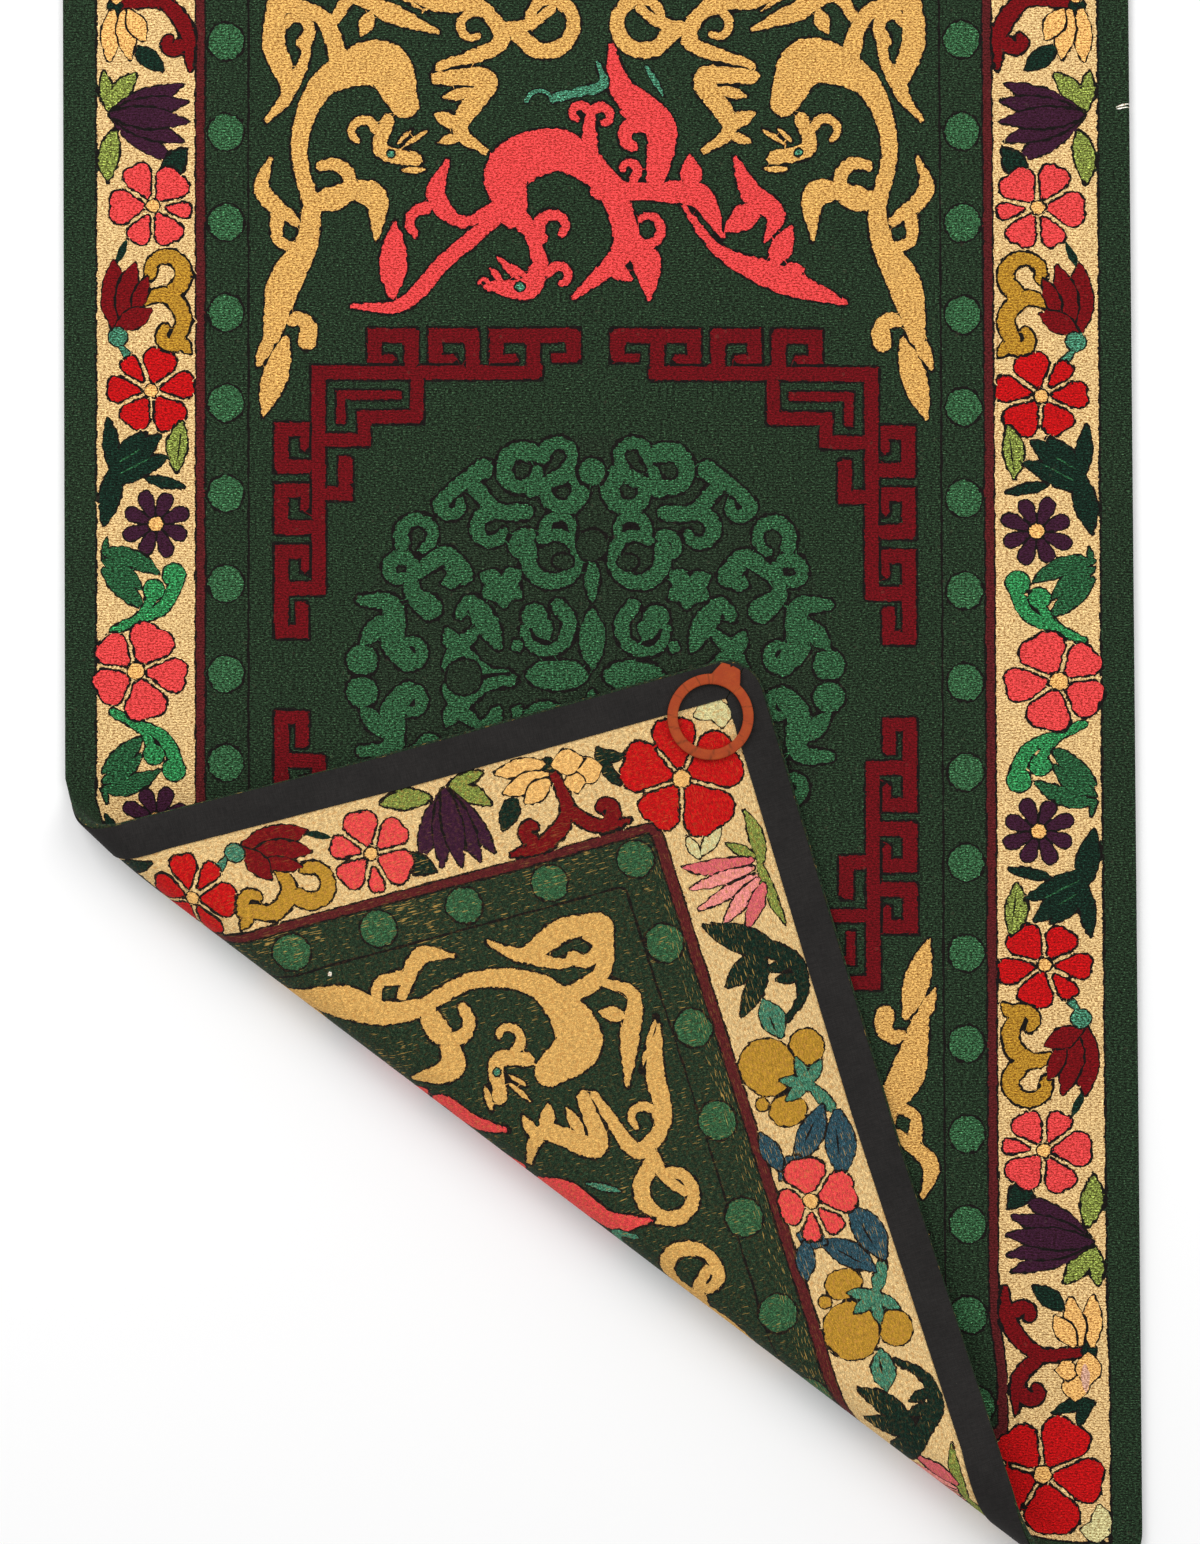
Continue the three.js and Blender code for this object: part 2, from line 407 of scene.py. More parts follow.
def fan(x: float, y: float, first: float, last: float, centre: float, reach: float) -> Patch:
    """A petal that fills the sector between two seams, with a shallow notch in its tip.

    Args:
        x: the flower's centre across, in squares.
        y: the flower's centre down, in squares.
        first: direction of one seam in degrees, from rightwards towards downwards.
        last: direction of the other seam.
        centre: radius of the flower's centre.
        reach: distance from the centre to the petal's tip.
    """
    middle, half = math.radians((first + last) / 2), math.radians((last - first) / 2)
    gap = 4.2
    foot = max(centre + 3.5, 1.15 * gap / math.sin(min(half, 1.2)))
    rows = (
        (foot, -1.0), (foot, -1.0), (0.5 * reach, -1.0), (0.8 * reach, -0.97), (0.95 * reach, -0.7),
        (reach, -0.3), (0.955 * reach, 0.02), (0.99 * reach, 0.4), (0.93 * reach, 0.76),
        (0.78 * reach, 0.98), (0.5 * reach, 1.0), (foot, 1.0), (foot, 1.0),
    )
    points = []
    for away, share in rows:
        turn = middle + share * max(half - math.asin(min(gap / away, 1.0)), 0.03)
        points.append((x + away * math.cos(turn), y + away * math.sin(turn)))
    return Patch(tuple(points))


def flower(
    x: float, y: float, yarn: Yarn, seams: Sequence[float], reach: Sequence[float], centre: float
) -> list[Motif]:
    """A flower seen from the front: petals between pale seams, round a tan centre.

    Args:
        x: the centre across, in squares.
        y: the centre down, in squares.
        yarn: the petals' yarn.
        seams: direction of each seam in degrees, in rising order.
        reach: length of the petal that follows each seam.
        centre: radius of the centre.
    """
    after = (*seams[1:], seams[0] + 360)
    petals = tuple(fan(x, y, a, b, centre, r) for a, b, r in zip(seams, after, reach))
    threads = []
    for turn, before, beyond in zip(seams, (reach[-1], *reach[:-1]), reach):
        away = 0.86 * min(before, beyond)
        turn = math.radians(turn)
        threads.append(Stroke(((x, y, 4.0), (x + away * math.cos(turn), y + away * math.sin(turn), 4.0))))
    eye = disc(x, y, centre)
    return [
        Motif(Yarn.CREAM, tuple(threads), 0),
        Motif(yarn, petals, FINE_LINE, True),
        Motif(Yarn.APRICOT, (eye,), 1.4),
    ]


def curl(
    x: float, y: float, radius: float, start: float, sweep: float, width: float, close: float = 0.4
) -> Stroke:
    """A scroll end: a spiral that closes in on its centre and thins as it goes.

    Args:
        x: the spiral's centre across, in squares.
        y: the spiral's centre down, in squares.
        radius: distance from the centre at its start.
        start: direction of its start in degrees, from rightwards towards downwards.
        sweep: how far it turns, in degrees; a negative sweep turns the other way.
        width: its width at the start.
        close: share of the radius that is left at its end.
    """
    steps = max(3, round(abs(sweep) / 45))
    points = []
    for share in np.linspace(0, 1, steps + 1):
        away = radius * (1 + (close - 1) * share)
        turn = math.radians(start + sweep * share)
        points.append((x + away * math.cos(turn), y + away * math.sin(turn), width * (1 - 0.4 * share)))
    return Stroke(tuple(points))


def spray(x: float, y: float, turns: Sequence[float], reach: float, width: float, bow: float = 0.0) -> tuple:
    """Leaves of one length that fan out from one foot, one for each direction in degrees."""
    found = []
    for turn in turns:
        across, down = math.cos(math.radians(turn)), math.sin(math.radians(turn))
        found.append(leaf(x, y, x + reach * across, y + reach * down, width, bow))
    return tuple(found)


# Motifs of the side border, from the end towards the middle

BELL = [
    Motif(
        Yarn.LEAF,
        (leaf(112, 110, 136, 74, 17, -3), leaf(108, 108, 104, 72, 11), leaf(114, 132, 108, 181, 18, 2)),
        FINE_LINE,
    ),
    Motif(Yarn.PURPLE, spray(111, 114, (-22, 38, -9, 21, 6), 78, 20), 1.4, True),
    Motif(Yarn.CLAW, (leaf(168, 178, 186, 149, 19, -2), leaf(176, 170, 180, 152, 10)), FINE_LINE),
]
CORAL_FLOWER = [
    Motif(Yarn.CLAW, (leaf(116, 264, 128, 238, 8),), 0),
    *flower(153, 206, Yarn.CORAL, (-88, -12, 28, 91, 143, 214), (42, 38, 41, 40, 43, 44), 6),
]
BUD = [
    Motif(
        Yarn.BUD,
        (leaf(115, 328, 114, 260, 25), leaf(124, 322, 136, 262, 20, -3), leaf(134, 312, 148, 276, 14)),
        1.3,
        True,
    ),
    Motif(Yarn.BUD, (leaf(118, 326, 152, 310, 20),), 1.3),
    Motif(Yarn.TEAL, (disc(118, 337, 9), leaf(120, 346, 137, 365, 6)), 1.3),
]
OCHRE_SCROLL = [
    Motif(
        Yarn.OCHRE,
        (
            curl(165, 273, 20, 60, -250, 15, 0.75),
            Stroke(((141, 300, 8), (168, 296, 14), (184, 318, 14), (176, 340, 13))),
            curl(171, 335, 11, 60, 170, 13, 0.8),
            leaf(178, 338, 191, 353, 10),
        ),
        FINE_LINE,
    ),
]
RED_FLOWER = [
    *flower(151, 391, Yarn.RED, (-108, -38, 17, 88, 156, 210), (42, 43, 43, 40, 43, 41), 6),
    Motif(Yarn.LEAF, (leaf(181, 424, 177, 472, 18, 2),), FINE_LINE),
    Motif(Yarn.BLACK, (leaf(181, 432, 177, 466, 1.6),), 0),
]
CLAW_LEAVES = [
    Motif(
        Yarn.CLAW,
        (
            leaf(114, 470, 108, 418, 14), leaf(116, 466, 104, 526, 20), leaf(118, 472, 146, 433, 18, -4),
            leaf(120, 480, 161, 435, 22, -4), leaf(116, 484, 169, 457, 17, -3), leaf(146, 478, 185, 487, 9),
        ),
        1.5,
    ),
    Motif(Yarn.FERN, (leaf(118, 463, 141, 449, 1.6), leaf(118, 475, 152, 457, 1.6)), 0),
]
DAISY = [
    Motif(
        Yarn.PURPLE,
        tuple(petal(156, 524, 22.5 + 45 * k, 8, 32 + 2 * (k % 2), 13) for k in range(8)),
        1.3,
        True,
    ),
    Motif(Yarn.APRICOT, (disc(156, 524, 7),), 1.2),
]
FERN_LEAVES = [
    Motif(
        Yarn.FERN,
        (
            leaf(103, 552, 160, 574, 17, -4), leaf(103, 560, 142, 590, 15, -3), leaf(104, 570, 144, 608, 17),
            leaf(104, 556, 107, 538, 4),
        ),
        1.5,
    ),
]
BALL_STEM = [
    Motif(
        Yarn.STEM,
        (
            Stroke(((113, 631, 7), (140, 616, 8), (156, 592, 8))),
            Stroke(((128, 624, 6), (166, 604, 12), (178, 578, 12))),
            disc(154, 590, 10), disc(174, 575, 11),
        ),
        1.3,
    ),
]
BIG_PINK = [
    *flower(136, 671, Yarn.CORAL, (-104, -22, 36, 111, 188), (49, 50, 49, 44, 45), 8),
]

# Motifs of the corner and of the end border

E_SCROLL = [
    Motif(
        Yarn.BUD,
        (
            Stroke(((188, -56, 2), (184, -20, 12), (160, 3, 10))), curl(172, -33, 11, -20, -200, 14),
            Stroke(((119, 5, 7), (166, 4, 12), (186, 30, 14), (190, 70, 3))), curl(172, 42, 10, 20, 200, 13),
        ),
        FINE_LINE,
    ),
]
BLOSSOMS = [
    Motif(
        Yarn.CLAW,
        (
            leaf(126, -68, 112, -46, 10, -4), leaf(112, -46, 153, -56, 12, 3), disc(115, 7, 7),
            leaf(136, 48, 164, 71, 17),
        ),
        1.4,
    ),
    Motif(
        Yarn.APRICOT,
        (
            leaf(130, -18, 130, -44, 26), leaf(128, -14, 149, -13, 19), leaf(118, -26, 116, 4, 24),
            leaf(112, 11, 109, 62, 17), leaf(123, 12, 130, 60, 18), leaf(129, 12, 145, 41, 18),
        ),
        1.4,
        True,
    ),
]
CORNER_FLOWER = [
    Motif(Yarn.PALE, (leaf(100, -176, 126, -172, 20), leaf(104, -176, 108, -148, 18)), 1.4),
    Motif(Yarn.PALE, (leaf(220, -138, 240, -112, 12), leaf(242, -110, 219, -104, 10)), 1.4),
    *flower(163, -117, Yarn.RED, (-61, 18, 86, 157, 220), (60, 54, 60, 59, 62), 8),
]
LILY = [
    Motif(
        Yarn.LEAF,
        (leaf(264, -167, 209, -167, 13, 4), leaf(258, -166, 327, -172, 10, 2), leaf(256, -164, 236, -140, 9)),
        1.4,
    ),
    Motif(Yarn.ROSE, (leaf(258, -160, 246, -90, 15, -4),), 1.4),
    Motif(Yarn.PINK, (leaf(266, -159, 269, -91, 11),), 1.4),
    Motif(Yarn.PINK, (leaf(274, -160, 291, -92, 11),), 1.4),
    Motif(Yarn.PINK, (leaf(278, -160, 310, -113, 14),), 1.4),
    Motif(Yarn.ROSE, (leaf(284, -164, 322, -133, 14),), 1.4),
]
END_CLAW = [
    Motif(
        Yarn.CLAW,
        (
            Stroke(((418, -144, 3), (398, -167, 8), (366, -170, 14), (344, -146, 16))),
            leaf(348, -156, 308, -103, 18), leaf(350, -142, 306, -92, 18), leaf(348, -140, 371, -96, 19),
            leaf(350, -142, 403, -101, 18, -3), leaf(366, -168, 365, -138, 10), leaf(380, -170, 377, -146, 9),
        ),
        1.5,
    ),
    Motif(Yarn.TEAL, (leaf(430, -134, 392, -127, 24),), 1.4),
    Motif(Yarn.BLACK, (leaf(428, -131, 407, -128, 2),), 0),
]
GOURD = [
    Motif(
        Yarn.OCHRE,
        (disc(448, -156, 17), disc(457, -112, 28), disc(491, -95, 6), disc(503, -119, 19, 0.8)),
        1.6,
        True,
    ),
    Motif(
        Yarn.TEAL,
        (
            disc(483, -146, 7), *spray(483, -146, (-132, 172, 112, 68), 28, 11),
            leaf(484, -148, 521, -168, 12),
        ),
        1.3,
    ),
]
END_CENTRE = [
    Motif(
        Yarn.SLATE,
        (
            leaf(519, -167, 580, -150, 30, -2), leaf(550, -112, 506, -155, 24, 3),
            leaf(550, -114, 566, -89, 20), leaf(556, -94, 517, -83, 18),
        ),
        1.5,
        True,
    ),
    Motif(Yarn.BLACK, (leaf(532, -161, 562, -155, 1.8), leaf(518, -144, 542, -121, 1.8)), 0),
]
END_PINK = [
    *flower(594, -113, Yarn.CORAL, (-52, -5, 40, 140, 231), (40, 40, 33, 42, 47), 7),
]

BORDER = BELL + CORAL_FLOWER + OCHRE_SCROLL + BUD + RED_FLOWER + CLAW_LEAVES + DAISY + FERN_LEAVES + BALL_STEM
BORDER += E_SCROLL + BLOSSOMS + CORNER_FLOWER + LILY + END_CLAW + GOURD + END_CENTRE

# The gold dragon of each corner: body, head, tail, arm and two scrolled legs

DRAGON_BODY = (
    Stroke(((311, 205, 15), (299, 148, 15), (326, 82, 26), (385, 66, 46), (405, 104, 28))),
    Stroke(((388, 120, 12), (380, 148, 14), (416, 160, 13))),
    curl(362, 133, 15, -10, -230, 9, 0.6),
    leaf(398, 143, 412, 130, 4),
    leaf(404, 146, 427, 131, 4),
    leaf(402, 170, 426, 170, 6),
)
DRAGON_TAIL = (
    Stroke(((313, 200, 17), (306, 244, 22), (286, 280, 32), (272, 336, 16))),
    leaf(274, 330, 257, 368, 13), leaf(286, 338, 263, 417, 24), curl(292, 328, 20, 40, -140, 18),
    Stroke(((271, 157, 2), (262, 188, 15), (296, 222, 9))),
    Stroke(((278, 214, 14), (278, 240, 9), (300, 249, 11))),
)
DRAGON_ARM = (
    curl(330, 182, 22, 110, -230, 16, 0.8),
    Stroke(((314, 202, 16), (345, 192, 16), (372, 194, 24), (377, 240, 3))),
)
DRAGON_THIGH = (
    Stroke(((340, 64, 18), (324, 20, 15), (281, 2, 17))),
    Stroke(((266, 122, 3), (288, 92, 14), (274, 44, 22), (276, 6, 18))),
    curl(294, 28, 18, 60, -220, 13, 0.5),
    Stroke(((290, 86, 16), (305, 58, 9), (306, 36, 9))),
    Stroke(((333, 22, 9), (352, -2, 12), (392, 14, 18), (438, 32, 3))),
    leaf(372, 12, 361, 36, 14),
)
DRAGON_LEG = (
    Stroke(((388, -18, 3), (430, 0, 18), (484, 10, 14), (502, 36, 15), (438, 68, 8))),
    curl(474, 28, 18, -60, -240, 9, 0.5),
    leaf(379, -19, 429, 14, 4),
    curl(548, 22, 32, 160, -330, 16, 0.6),
    Stroke(((508, 30, 14), (534, 22, 10), (552, 8, 8))),
    Stroke(((436, 78, 12), (486, 80, 20), (460, 132, 14), (486, 152, 5))),
    leaf(462, 126, 434, 114, 14), leaf(462, 136, 438, 143, 9), leaf(474, 90, 443, 98, 11),
)
GOLD_DRAGON = [
    Motif(Yarn.GOLD, DRAGON_BODY + DRAGON_TAIL + DRAGON_ARM + DRAGON_THIGH + DRAGON_LEG, 2.2),
    Motif(Yarn.TEAL, (disc(391, 154, 3.2),), 1.8),
]

# The two pink dragons of each end

FIRST_DRAGON = (
    Stroke(((512, 214, 28), (508, 172, 46), (552, 150, 42), (620, 192, 20))),
    Stroke(((589, 156, 18), (590, 110, 8))),
    curl(579, 114, 10, -20, -230, 9, 0.5), curl(602, 117, 12, 200, 240, 10, 0.5),
    Stroke(((508, 206, 28), (532, 236, 12), (541, 264, 16))), curl(554, 228, 17, 140, 260, 12, 0.6),
    Stroke(((541, 262, 14), (530, 286, 22), (487, 286, 8))), curl(482, 284, 7, 10, -170, 4),
    leaf(520, 280, 497, 256, 7), leaf(528, 278, 507, 264, 6), leaf(502, 282, 490, 268, 6),
    curl(560, 277, 13, 200, 240, 9, 0.5),
    Stroke(((448, 160, 3), (436, 196, 18), (462, 222, 10), (496, 208, 13))),
    curl(424, 224, 17, -80, -150, 11, 0.8),
    Stroke(((351, 306, 3), (398, 306, 12), (446, 260, 14), (496, 218, 13))), leaf(392, 296, 395, 221, 26),
)
SECOND_DRAGON = (
    Stroke(((611, 44, 3), (620, 86, 22), (660, 128, 30), (655, 184, 17))),
    curl(636, 138, 16, -50, -200, 16, 0.6),
    leaf(640, 112, 620, 112, 16),
    Stroke(((600, 190, 20), (652, 192, 17), (698, 196, 24), (723, 238, 3))), leaf(692, 190, 690, 155, 20),
    Stroke(((735, 157, 3), (752, 194, 20), (776, 216, 18), (765, 241, 3))), leaf(760, 206, 725, 231, 24),
    Stroke(((683, 205, 3), (716, 248, 10), (784, 280, 26), (846, 303, 4))), leaf(772, 268, 792, 225, 20),
    leaf(782, 274, 804, 269, 18),
    Stroke(((612, 188, 24), (626, 242, 24), (573, 298, 4))), leaf(604, 262, 632, 280, 16),
    Stroke(((630, 240, 20), (646, 262, 28), (649, 299, 4))), curl(646, 228, 18, 100, -230, 10, 0.6),
    curl(628, 170, 11, 60, -240, 9, 0.5),
)
PINK_DRAGONS = [
    Motif(Yarn.CORAL, FIRST_DRAGON + SECOND_DRAGON, 2.2),
    Motif(Yarn.TEAL, (disc(520, 287, 3.8, 1.1),), 1.8),
    Motif(
        Yarn.TEAL,
        (
            curl(540, 104, 14, 190, 160, 4, 0.9),
            Stroke(((553, 98, 8), (580, 92, 8), (604, 84, 9), (598, 64, 4))),
            leaf(646, 66, 664, 97, 5),
        ),
        1.2,
    ),
]

# Small marks: loose white threads on the front and the back, and a faded place on a blossom

FRONT_MARKS = [
    Motif(Yarn.FADED, (leaf(1085, 1364, 1086, 1394, 9),), 0),
    Motif(Yarn.WHITE, (leaf(1115, 107, 1129, 103, 1.8), leaf(1116, 109, 1129, 107, 1.4)), 0),
]
BACK_MARKS = [Motif(Yarn.WHITE, (disc(256, 283, 2.4),), 0)]

# The key-fret bracket round each corner of the medallion, from one key that repeats

KEY = 50
KEY_PITCH = 61
KEY_LIP = 34
KEY_HOOK = 28
THIN_BAR = 8
BAR = 13


def key(left: float, top: float, turned: bool) -> list[tuple]:
    """One key of the fret: two long sides, a lip and a hook; a turned key lies on its side."""
    bars = (
        (0, 0, KEY, BAR), (0, 0, BAR, KEY_LIP), (0, KEY_LIP - THIN_BAR, KEY_HOOK, KEY_LIP),
        (KEY - BAR, 0, KEY, KEY),
    )
    found = []
    for a, b, c, d in bars:
        if turned:
            a, b, c, d = b, a, d, c
        found.append((left + a, top + b, left + c, top + d))
    return found


def bracket() -> tuple:
    """The whole bracket: two rails, a row of three keys on each, and the steps of its corner."""
    left, top = 312, 366
    boxes = [(left, top, left + 230, top + BAR), (left, top, left + BAR, top + 227)]
    for k in range(3):
        boxes += key(368 + KEY_PITCH * k, top + BAR - KEY, False)
        boxes += key(left + BAR - KEY, 423 + KEY_PITCH * k, True)
    boxes += [(528, 329, 580, 342), (567, 329, 580, 362), (552, 354, 580, 362)]
    boxes += [(275, 583, 288, 638), (275, 625, 308, 638), (296, 602, 308, 638)]
    boxes += [(411, top, 423, 423), (358, 411, 423, 423), (358, 411, 370, 446), (left, 434, 370, 446)]
    boxes += [(337, 391, 401, 399), (337, 391, 345, 424), (339, 457, 352, 500), (left, 487, 352, 500)]
    return tuple(boxes)


BRACKET = [Motif(Yarn.CRIMSON, (Blocks(bracket()),), 2.2)]

# A quarter of the medallion's scrolls

MEDALLION_SHADOW = Patch(((620, 438), (520, 450), (440, 500), (385, 560), (358, 640), (360, 700), (640, 700)))
SCROLLS = (
    curl(560, 458, 18, 180, 240, 13, 0.6), curl(522, 470, 20, -60, -300, 18, 0.8),
    curl(562, 490, 20, -50, 250, 18, 0.8),
    Stroke(((530, 490, 14), (545, 484, 14), (566, 474, 14))),
    Stroke(((484, 469, 19), (456, 488, 13), (440, 504, 13))), curl(452, 504, 12, 180, -200, 14, 0.7),
    Stroke(((474, 486, 15), (500, 512, 14), (526, 512, 14))), curl(492, 528, 16, -110, -230, 15, 0.8),
    curl(418, 536, 18, 150, 280, 14, 0.8), curl(400, 570, 14, -60, -250, 14, 0.6),
    Stroke(((418, 572, 13), (446, 556, 18), (462, 574, 22))), leaf(460, 578, 442, 584, 16),
    Stroke(((414, 564, 12), (412, 592, 15), (430, 608, 24))),
    curl(554, 556, 28, 200, -330, 16, 0.75), curl(560, 530, 16, 160, 220, 12, 0.8),
    curl(524, 546, 12, -60, -220, 12, 0.7),
    *spray(502, 584, (35, 85, 145, 205, 325), 24, 19),
    disc(534.5, 616.5, 12.5), leaf(538, 618, 548, 640, 20),
    curl(545, 628, 26, -60, 240, 14, 0.8), leaf(520, 650, 514, 640, 12),
    Stroke(((460, 614, 11), (468, 602, 12), (488, 626, 22), (498, 646, 8))),
    Stroke(((475, 632, 10), (457, 650, 15), (446, 666, 8))), leaf(457, 651, 446, 628, 16),
    Stroke(((462, 650, 14), (486, 672, 11), (512, 677, 10))),
    Stroke(((361, 600, 9), (391, 604, 18), (394, 644, 23), (408, 662, 19))),
    curl(410, 651, 13, 60, -170, 13, 0.7),
    leaf(388, 616, 360, 646, 18), disc(362, 660, 15),
)
MEDALLION_GROUND = [Motif(Yarn.SHADOW, (MEDALLION_SHADOW,), 0)]
MEDALLION = [
    Motif(Yarn.MID_GREEN, SCROLLS),
    Motif(Yarn.SHADOW, (disc(563, 561.5, 7, 1.5),), 2.0),
]

# Shapes of the medallion that stand on its long axis, and those on the rug's middle line

MEDALLION_AXIS = [
    Motif(Yarn.MID_GREEN, (disc(592, 472, 13), leaf(592, 560, 592, 602, 13), leaf(592, 612, 592, 670, 24))),
    Motif(Yarn.SHADOW, (disc(592, 545, 15),), 2.6),
]
MEDALLION_MIDDLE = [
    Motif(Yarn.MID_GREEN, (disc(557, 675, 14, 2.2),)),
    Motif(Yarn.SHADOW, (disc(464, 677, 17),), 2.4),
]


@dataclass(frozen=True)
class Layer:
    """One painted outline, in chart squares, and its yarn."""

    outline: np.ndarray
    yarn: Yarn


class Chart:
    """The whole design as outlines painted one over the other."""

    DISC_RADIUS = 17.5
    DISC_GAP = 90.3
    SIDE_DISCS = 226.0
    END_DISCS = ((591, -42), (494, -46), (401, -51), (313, -50))
    FIRST_DISC = 674.0

    def __init__(self, shows: Callable[[np.ndarray], np.ndarray]) -> None:
        """Paints the frames, the border, the field and the medallion in that order.

        Args:
            shows: tells which chart points are seen from above; the others need fewer points.
        """
        self.shows = shows
        self.layers: list[Layer] = []
        self.noise = np.random.default_rng(11)
        self.frames()
        self.discs()
        for quarter in QUARTERS:
            self.motifs(BORDER, quarter.place)
            self.motifs(GOLD_DRAGON, quarter.place)
            self.motifs(BRACKET, quarter.place)
        for quarter in QUARTERS:
            self.motifs(MEDALLION_GROUND, quarter.place)
        for quarter in QUARTERS:
            self.motifs(MEDALLION, quarter.place)
        for quarter in (UPPER_LEFT, UPPER_RIGHT):
            self.motifs(MEDALLION_MIDDLE, quarter.place)
        for quarter in (UPPER_LEFT, LOWER_LEFT):
            self.motifs(MEDALLION_AXIS, quarter.place)
        for quarter in (UPPER_LEFT, UPPER_RIGHT):
            self.motifs(BIG_PINK, quarter.place)
        self.motifs(END_PINK, UPPER_LEFT.place)
        self.motifs(END_PINK, LOWER_LEFT.place)
        self.motifs(PINK_DRAGONS, keep)
        self.motifs(PINK_DRAGONS, turned)
        self.motifs(FRONT_MARKS, keep)
        self.motifs(BACK_MARKS, LOWER_LEFT.place)

    def add(self, outline: np.ndarray, yarn: Yarn, step: float = STEP, ragged: float = FINE_RAGGED) -> None:
        """Puts one outline over the others, its points a little off the line as hooked loops are."""
        if not self.shows(outline).any():
            step = step * HIDDEN_STEP
        points = resample(outline, step)
        points = points + self.noise.uniform(-ragged, ragged, points.shape)
        self.layers.append(Layer(points, yarn))

    def frames(self) -> None:
        """Paints the nested frames: dark line, pale border, maroon line, disc band and thin line."""
        rows = (
            (94.5, -187.0, Yarn.BLACK),
            (98.0, -183.5, Yarn.CREAM),
            (194.2, -84.0, Yarn.BLACK),
            (197.0, -81.2, Yarn.MAROON),
            (204.0, -72.0, Yarn.BLACK),
            (206.8, -69.2, Yarn.GROUND),
            (247.4, -30.6, Yarn.BLACK),
            (249.6, -28.4, Yarn.GROUND),
        )
        for left, top, yarn in rows:
            side = np.linspace(0, 1, 40)[:, None]
            corner = np.array(((left, top),))
            over = corner + (np.array(((AXIS, top),)) - corner) * side
            bottom = MIDDLE - MIDDLE_SLOPE * (AXIS - left) / HALF_WIDTH
            down = corner + (np.array(((left, bottom),)) - corner) * side
            path = np.vstack((over[::-1], down[1:]))
            outline = np.vstack(
                (
                    UPPER_LEFT.place(path),
                    LOWER_LEFT.place(path)[::-1],
                    LOWER_RIGHT.place(path),
                    UPPER_RIGHT.place(path)[::-1],
                )
            )
            self.add(outline, yarn, FRAME_STEP, 0.7)

    def discs(self) -> None:
        """Paints the green discs of the band inside the maroon line; those on a middle line only once."""
        for quarter in QUARTERS:
            first_side, first_end = int(quarter.bottom), int(quarter.right)
            spots = [
                disc(self.SIDE_DISCS, self.FIRST_DISC - self.DISC_GAP * k, self.DISC_RADIUS, 0.97)
                for k in range(first_side, 9)
            ]
            spots += [disc(x, y, self.DISC_RADIUS + 0.7) for x, y in self.END_DISCS[first_end:]]
            self.motifs([Motif(Yarn.DISC_GREEN, tuple(spots), 2.4)], quarter.place)

    def motifs(self, found: Sequence[Motif], place: Place) -> None:
        """Paints motifs where place puts them, the dark lines under the shapes."""
        for motif in found:
            groups = [(part,) for part in motif.parts] if motif.apart else [motif.parts]
            for group in groups:
                if motif.line:
                    self.shapes(group, motif.line + CREEP_ROOM, motif.line_yarn, place)
                self.shapes(group, 0.0, motif.yarn, place)

    def shapes(self, parts: Sequence, grow: float, yarn: Yarn, place: Place) -> None:
        """Paints the outlines of some shapes in one yarn."""
        for part in parts:
            for outline in outlines_of(part, grow):
                if isinstance(part, Blocks):
                    self.add(place(outline), yarn, FRAME_STEP)
                elif np.ptp(outline, axis=0).max() < 34:
                    self.add(place(outline), yarn, FINE_STEP)
                else:
                    self.add(place(outline), yarn, STEP, RAGGED)

    def label(self, points: np.ndarray) -> np.ndarray:
        """The number of the topmost layer at each point, -1 where there is none."""
        found = np.full(len(points), -1)
        for number, layer in enumerate(self.layers):
            low, high = layer.outline.min(axis=0), layer.outline.max(axis=0)
            near = np.flatnonzero(np.all((points >= low) & (points <= high), axis=1))
            if len(near):
                found[near[inside(points[near], layer.outline)]] = number
        return found

    def yarns(self, points: np.ndarray) -> np.ndarray:
        """The number of the yarn at each point, in the order of the Yarn names."""
        names = list(Yarn)
        table = np.array([names.index(layer.yarn) for layer in self.layers] + [names.index(Yarn.GROUND)])
        return table[self.label(points)]

    def edges(self) -> tuple[np.ndarray, np.ndarray]:
        """The points and edges of the outlines where two yarns meet; hidden edges are left out."""
        starts = np.vstack([layer.outline for layer in self.layers])
        ends = np.vstack([np.roll(layer.outline, -1, axis=0) for layer in self.layers])
        sizes = [len(layer.outline) for layer in self.layers]
        first = np.repeat(np.cumsum([0] + sizes[:-1]), sizes)
        count = np.repeat(sizes, sizes)
        here = np.arange(len(starts))
        after = first + (here - first + 1) % count
        run = ends - starts
        side = np.column_stack((-run[:, 1], run[:, 0])) / np.maximum(np.hypot(*run.T), 1e-9)[:, None]
        middle = (starts + ends) / 2
        seen = self.yarns(middle + side * 0.3) != self.yarns(middle - side * 0.3)
        pairs = np.column_stack((here, after))[seen]
        used, index = np.unique(pairs, return_inverse=True)
        return starts[used], index.reshape(-1, 2)


def inside(points: np.ndarray, outline: np.ndarray) -> np.ndarray:
    """Whether each point is inside a closed outline, by the number of times the outline winds round it.

    The points are taken in bands from top to bottom, each with only the edges that reach its band.
    """
    after = np.roll(outline, -1, axis=0)
    low = np.minimum(outline[:, 1], after[:, 1])
    high = np.maximum(outline[:, 1], after[:, 1])
    order = np.argsort(points[:, 1])
    wind = np.zeros(len(points), int)
    for chunk in range(0, len(points), 256):
        some = order[chunk : chunk + 256]
        x, y = points[some, :1], points[some, 1:]
        near = (high >= y[0]) & (low <= y[-1])
        a, b = outline[near], after[near]
        left = (b[:, 0] - a[:, 0]) * (y - a[:, 1]) - (x - a[:, 0]) * (b[:, 1] - a[:, 1])
        up = (a[:, 1] <= y) & (b[:, 1] > y) & (left > 0)
        down = (a[:, 1] > y) & (b[:, 1] <= y) & (left < 0)
        wind[some] = up.sum(axis=1) - down.sum(axis=1)
    return wind != 0


# The folded sheet


